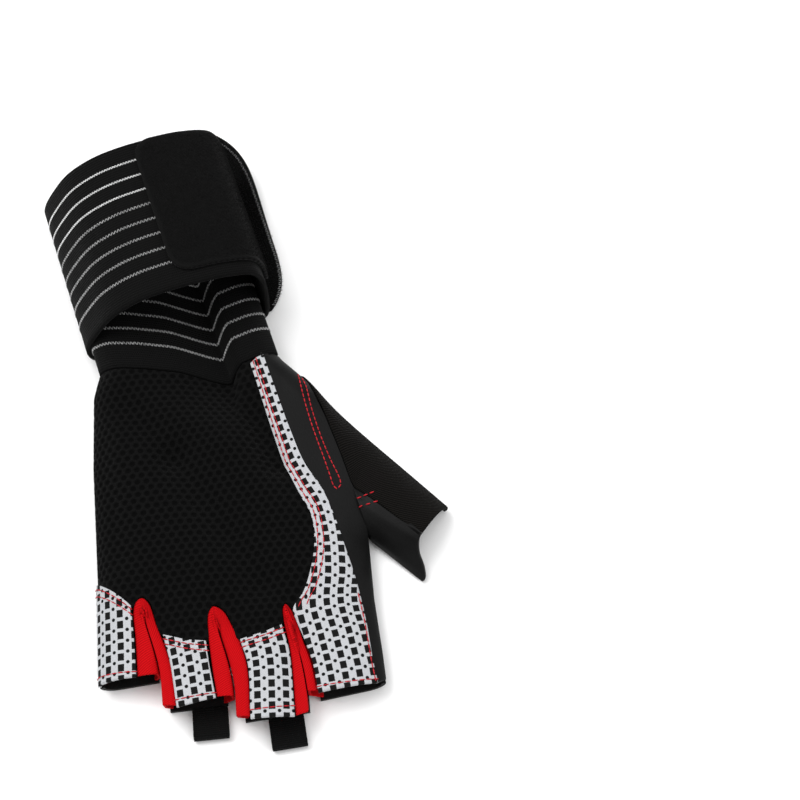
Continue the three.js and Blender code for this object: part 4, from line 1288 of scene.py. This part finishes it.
def first_turn():
    half = elastic_wall / 2
    right = place(wrist_seam[-1])[0]
    left = place(wrist_seam[0])[0]
    bend = shoulder * (1 - np.cos(np.array([0.2, 0.45, 0.7, 1]) * math.pi / 2)) + half
    middle = mix(right - shoulder - half, left + shoulder + half, np.linspace(0, 1, 29)[1:-1])
    x = np.concatenate([right - bend, middle, (left + bend)[::-1]])
    y = seam_along(x)
    z = back_z(x, y - seam_gap) - half
    y = y + seam_gap
    u = x * band_across[0] + y * band_across[1]
    w = x * band_axis[0] + y * band_axis[1]
    return np.column_stack([u, w, z])


def strap_path():
    turn = first_turn()
    first = turn[0]
    last = turn[-1]
    span = first[0] - last[0]
    rows = [(first[0] - share * span, first[1], layers * layer - floor_layer) for share, layers in tuck_rows]
    rows += [tuple(point) for point in turn]
    for share, out, height, setback in wrap_rows:
        z = max(height * wrap_height, floor_layer + layer if height > 0.05 else floor_layer)
        rows.append((last[0] + share * span + out * layer, last[1] + setback * wrap_setback, z))
    return curve_through(rows)


path = strap_path()
path_shares = np.linspace(0, 1, 4001)
path_points = path(path_shares)
path_run = np.concatenate([[0], np.cumsum(np.linalg.norm(np.diff(path_points, axis=0), axis=1))])
strap_length = path_run[-1]


def strap_at(shares):
    """Middle line of the band and its outward direction at shares of its length."""
    where = np.interp(np.asarray(shares) * strap_length, path_run, path_shares)
    here = path(where)
    ahead = path(np.clip(where + 0.001, 0, 1)) - path(np.clip(where - 0.001, 0, 1))
    out = unit(np.column_stack([ahead[:, 2], -ahead[:, 0]]))
    return here, out


def band_points(shares, along, offset):
    """Grid on the band: rows follow its length, columns cross it."""
    here, out = strap_at(shares)
    along = np.asarray(along, float)
    along = along if along.ndim == 2 else np.broadcast_to(along, (len(here), len(along)))
    u = (here[:, 0] + out[:, 0] * offset)[:, None] + along * 0
    z = (here[:, 2] + out[:, 1] * offset)[:, None] + along * 0
    return from_band(u, here[:, 1:2] + along, z)


def wrist_strap():
    shares = np.linspace(0, 1, 331)
    along = np.linspace(0, band_width, 35)
    outer = band_points(shares, along, elastic_wall / 2)
    inner = band_points(shares, along, -elastic_wall / 2)
    lines = np.dstack(np.broadcast_arrays(along[None, :], shares[:, None] * strap_length))
    piece = make_piece("wrist_strap_elastic", *closed_sheet(outer, inner, lines), elastic)
    wear(piece, "elastic", "wrist_strap")


first_stripe = 11.0
stripe_pitch = 7.0
stripe_lift = 0.06
zigzag_slant = 0.35


def stripe_threads():
    shares = np.linspace(0.0, 0.998, 700)
    groups = (
        # name, numbers, thread, thickness, width, pitch of the legs
        ("pale_stripes", range(5), grey_thread, 0.34, 1.6, 0.72),
        ("bright_stripes", range(5, 8), white_thread, 0.40, 1.25, 0.58),
    )
    for name, numbers, material, thickness, width, step in groups:
        places = [first_stripe + number * stripe_pitch for number in numbers]
        runs = [band_points(shares, [at], elastic_wall / 2 + stripe_lift)[:, 0] for at in places]
        axis = np.array([band_axis[0], band_axis[1], 0])
        line = line_object("stripe_line", runs, [np.broadcast_to(axis, run.shape) for run in runs])
        piece = grow(
            name, line, zigzag, material, Pitch=step, Width=width, Thickness=thickness, Slant=zigzag_slant)
        drop(line)
        wear(piece, "elastic")


# Patch: facets past the strap's top, extra round of its corners, and its bare border
facets_past_top = 2
patch_from = 0.4
corner_soft = 1.5
bare = 1.3


def patch_ends():
    steps = round(strap_length / strap_pitch)
    here, _ = strap_at(np.linspace(0, 1, steps + 1))
    first = next(i for i, p in enumerate(here) if i > steps / 3 and p[2] > patch_from * wrap_height)
    return first / steps, (int(np.argmax(here[:, 2])) + facets_past_top) / steps


def loop_patch():
    first, last = patch_ends()
    shares = np.linspace(first, last, 97)
    corner = patch_corner + corner_soft
    edge = np.minimum(np.minimum(shares - first, last - shares) * strap_length, corner) / corner
    inset = corner * (1 - np.sqrt(1 - (1 - edge) ** 2))
    across = np.linspace(0, 1, 81)[None]
    along = mix((patch_margin + inset)[:, None], (patch_margin + pile_width - inset)[:, None], across)
    low = elastic_wall / 2 + seam_gap
    outer = band_points(shares, along, low + pile_wall)
    inner = band_points(shares, along, low)
    lines = np.dstack([along, np.broadcast_to((shares * strap_length)[:, None], along.shape)])
    sheet = make_piece("loop_patch_pile", *closed_sheet(outer, inner, lines), pile_cloth)
    trim = mix(first + bare / strap_length, last - bare / strap_length, np.linspace(0, 1, 97))
    middle = mix(along[:, :1] + bare, along[:, -1:] - bare, across)
    field = band_points(trim, middle, low + pile_wall)
    ground = make_piece("pile_ground", *open_sheet(field), closed=False)
    fibres = grow(
        "loop_patch_fibres", ground, pile, pile_fibre,
        Density=7.0, Length=0.55, Thickness=0.17, Lean=1.1, Seed=11)
    drop(ground)
    wear(fibres, "pile")
    wear(sheet, "pile", "loop_patch")


hook_corner = 0.35
hook_narrow = 0.97
edge_share = 0.955


def hook_surface(p, q):
    end = strap_at([1.0])[0][0]
    start = end[1] + hook_setback
    rounded = 1 - np.abs(2 * q - 1) ** 5
    u = end[0] + seam_gap + p * hook_reach * mix(hook_corner, 1, rounded)
    lift = hook_lift * p * p * q * q
    return from_band(u, start + q * hook_length * mix(1, hook_narrow, p), elastic_wall + lift)


def hook_tab():
    p = np.linspace(0, 1, 31)[None]
    q = np.linspace(0, 1, 121)[:, None]
    outer = hook_surface(p, q)
    sheet = sheet_piece("hook_tab_backing", outer, elastic_wall, cloth_lines(outer, 0.0), hook_cloth)
    hooks = grow(
        "hook_tab_hooks", sheet, pile, hook_fibre,
        Density=2.6, Length=0.75, Thickness=0.26, Lean=0.7, Seed=5)
    wear(hooks, "hook_leather")
    q = np.linspace(0.02, 0.98, 200)
    edge = hook_surface(np.full(len(q), edge_share), q) + np.array([0, 0, 0.15])
    inner = hook_surface(np.full(len(q), 0.80), q)
    line = line_object("edge_line", [edge], [unit(edge - inner)])
    threads = grow(
        "hook_tab_edge_threads", line, zigzag, grey_thread,
        Pitch=0.95, Width=1.5, Thickness=0.32, Slant=zigzag_slant)
    drop(line)
    wear(threads, "hook_leather")
    wear(sheet, "hook_leather", "hook_tab")


# Pull tabs
def pull_tab(name, node, across, along, tilt):
    low = tape_wall / 2
    high = pull_height - tape_wall / 2
    radius = (high - low) / 2
    straight_run = pull_length - pull_height / 2
    bend = np.linspace(-math.pi / 2, math.pi / 2, 17)
    lower = np.column_stack([np.linspace(0, straight_run, 12)[:-1], np.full(11, low)])
    arc = np.column_stack([straight_run + radius * np.cos(bend), low + radius + radius * np.sin(bend)])
    rise = np.linspace(high, pull_seam - low, 12)[1:]
    upper = np.column_stack([np.linspace(straight_run, 0, 12)[1:], rise])
    line = np.concatenate([lower, arc, upper])
    ahead = unit(np.gradient(line, axis=0))
    out = np.column_stack([ahead[:, 1], -ahead[:, 0]])
    width = np.linspace(-pull_width / 2, pull_width / 2, 25)
    turn = tilt - math.pi / 2
    at = place((across, along))

    def face(offset):
        profile = line + out * offset
        x, y, z = np.broadcast_arrays(profile[:, :1], width[None], profile[:, 1:])
        return np.dstack([
            at[0] + x * math.cos(turn) - y * math.sin(turn),
            at[1] + x * math.sin(turn) + y * math.cos(turn),
            z,
        ])

    outer = face(tape_wall / 2)
    piece = make_piece(name, *closed_sheet(outer, face(-tape_wall / 2), cloth_lines(outer)), tape)
    wear(piece, "tape", node)


# Red stitching
def raised(plan, lift):
    """Points over the back, lifted square to its surface."""
    x, y = plan.T
    step = 0.2
    slope = np.column_stack([
        back_z(x - step, y) - back_z(x + step, y),
        back_z(x, y - step) - back_z(x, y + step),
        np.full(len(x), 2 * step),
    ])
    return np.column_stack([plan, back_z(x, y)]) + unit(slope) * lift


def row_beside(plan, distance, low=0.0, high=1.0):
    """A line on a panel's grid at a distance from its left edge."""
    edge = np.linalg.norm(np.diff(plan, axis=1), axis=2)
    run = np.concatenate([np.zeros((len(plan), 1)), np.cumsum(edge, axis=1)], axis=1)
    first = int(low * (len(plan) - 1))
    last = int(high * (len(plan) - 1))
    points = []
    for i in range(first, last + 1):
        at = distance if np.ndim(distance) == 0 else distance[i]
        points.append([np.interp(at, run[i], plan[i, :, 0]), np.interp(at, run[i], plan[i, :, 1])])
    return np.array(points)


on_leather = 0.12
on_satin = satin_lift + on_leather
knuckle_rows = (2.0, 4.6)
hem_row = 2.2
index_hem_row = 2.6
index_hem_span = 150
outer_row = 0.7
strip_rows = [
    # share from hem to wrist, near row and far row from the strip's left edge
    (0.00, 2.00, 5.00), (0.28, 2.00, 5.20), (0.45, 1.80, 5.00), (0.70, None, 3.90), (1.00, 1.50, 3.10),
]
thumb_rows = [
    # across and along of the double row on the side leather, down and back up
    (0.355, 0.312), (0.367, 0.245), (0.386, 0.168), (0.406, 0.105), (0.421, 0.063), (0.438, 0.010),
    (0.449, -0.023), (0.459, -0.031), (0.472, -0.024), (0.475, -0.010), (0.443, 0.060), (0.416, 0.130),
    (0.394, 0.205), (0.380, 0.275), (0.370, 0.300),
]
short_rows = [
    # start and end of the two short rows at the foot of the thumb, across and along
    ((0.538, -0.063), (0.586, -0.053)),
    ((0.540, -0.087), (0.596, -0.080)),
]


def sew(name, runs, pitch, length, thickness):
    line = line_object("seam_line", runs)
    piece = grow(name, line, stitches, red_thread, Pitch=pitch, Length=length, Thickness=thickness)
    drop(line)
    wear(piece, "red_stretch")


def red_seams(panels, index_plan, thumb_grids):
    runs = []
    for plan in panels:
        length = np.linalg.norm(plan[-1, 0] - plan[0, 0])
        for away in knuckle_rows:
            share = 1 - away / length
            row = plan[int(round(share * (len(plan) - 1)))]
            runs.append(raised(row[1:-1], on_satin))
        hem = plan[int(round(hem_row / length * (len(plan) - 1)))]
        runs.append(raised(hem[1:-1], on_satin))
    count = len(index_plan)
    share = np.linspace(0, 1, count)
    for column in (1, 2):
        given = [row for row in strip_rows if row[column] is not None]
        away = np.interp(share, [row[0] for row in given], [row[column] for row in given])
        runs.append(raised(row_beside(index_plan, away, 0.27, 0.995), on_satin))
    hem = index_plan[int(round(index_hem_row / index_hem_span * count))]
    runs.append(raised(hem[1:-1], on_satin))
    runs.append(raised(row_beside(index_plan[:, ::-1], outer_row, 0.02, 0.26), on_satin))
    sew("panel_stitches", runs, 2.4, 2.4, 0.46)
    runs = [raised(curve_of(thumb_rows)(np.linspace(0, 1, 200)), on_leather)]
    spots = np.concatenate([grid.reshape(-1, 3) for grid in thumb_grids])
    for start, end in short_rows:
        row = mix(place(start), place(end), np.linspace(0, 1, 30)[:, None])
        away = np.linalg.norm(row[:, None] - spots[None, :, :2], axis=2)
        high = np.where(away < 0.8, spots[None, :, 2], -99).max(axis=1)
        runs.append(np.column_stack([row, high + 2 * on_leather]))
    sew("thumb_stitches", runs, 2.1, 1.9, 0.5)


back_mesh()
panel_plans = [finger_panel(name, *rows) for name, rows in finger_panels.items()]
index_plan = index_panel()
side_leather()
thumb_grids = [thumb_knit(), thumb_leather()]
palm_leather()
for number, rows in enumerate(gussets, 1):
    gusset(number, *rows)
wrist_strap()
stripe_threads()
loop_patch()
hook_tab()
pull_tab("pull_tab_ring_tape", "pull_tab_ring", -0.062, -0.558, 0)
pull_tab("pull_tab_middle_tape", "pull_tab_middle", 0.204, -0.601, 0.06)
red_seams(panel_plans, index_plan, thumb_grids)


# Floor, light and camera: metres and watts
floor_side = 3.0
floor_level = -0.0005
world_light = 0.50
lamps_aim = Vector((0.03, 0.0, 0.0))
camera_target = Vector((75.1, 37.1, 0))
camera_distance = 0.7


def studio():
    mesh = bpy.data.meshes.new("floor")
    corners = [(x * floor_side, y * floor_side, floor_level) for x, y in ((-1, -1), (1, -1), (1, 1), (-1, 1))]
    mesh.from_pydata(corners, [], [(0, 1, 2, 3)])
    floor = add_object("floor", mesh)
    paper, wires, shader = finish("floor_paper", grey(0.97), 0.95, 0.0)
    tone(wires, shader, object_noise(wires, 60.0), grey(0.965), grey(0.975))
    mesh.materials.append(paper)
    world = bpy.data.worlds.new("studio")
    world.use_nodes = True
    world.node_tree.nodes["Background"].inputs[0].default_value = (1, 1, 1, 1)
    world.node_tree.nodes["Background"].inputs[1].default_value = world_light
    bpy.context.scene.world = world
    lamps = [
        # name, place, size, watts
        ("key", (-0.55, 0.35, 1.15), 0.8, 11),
        ("fill", (0.85, -0.45, 0.95), 0.9, 5),
        ("top", (0.05, 0.15, 1.5), 1.2, 8),
    ]
    for name, spot, size, watts in lamps:
        data = bpy.data.lights.new(name, "AREA")
        data.shape = "SQUARE"
        data.size = size
        data.energy = watts
        lamp = add_object(name, data)
        lamp.location = spot
        aim = lamps_aim - Vector(spot)
        lamp.rotation_euler = aim.to_track_quat("-Z", "Y").to_euler()


def aim_camera():
    data = bpy.data.cameras.new("camera")
    data.lens = 80
    data.sensor_width = 36
    data.clip_start = 0.01
    data.clip_end = 20
    camera = add_object("camera", data)
    elevation = math.radians(64)
    azimuth = math.radians(-6)
    back = Vector((
        math.sin(azimuth) * math.cos(elevation),
        -math.cos(azimuth) * math.cos(elevation),
        math.sin(elevation),
    ))
    camera.location = camera_target * MM + back * camera_distance
    camera.rotation_euler = (math.pi / 2 - elevation, 0, azimuth)
    bpy.context.scene.camera = camera


studio()
aim_camera()
bpy.context.scene.view_settings.view_transform = "Standard"
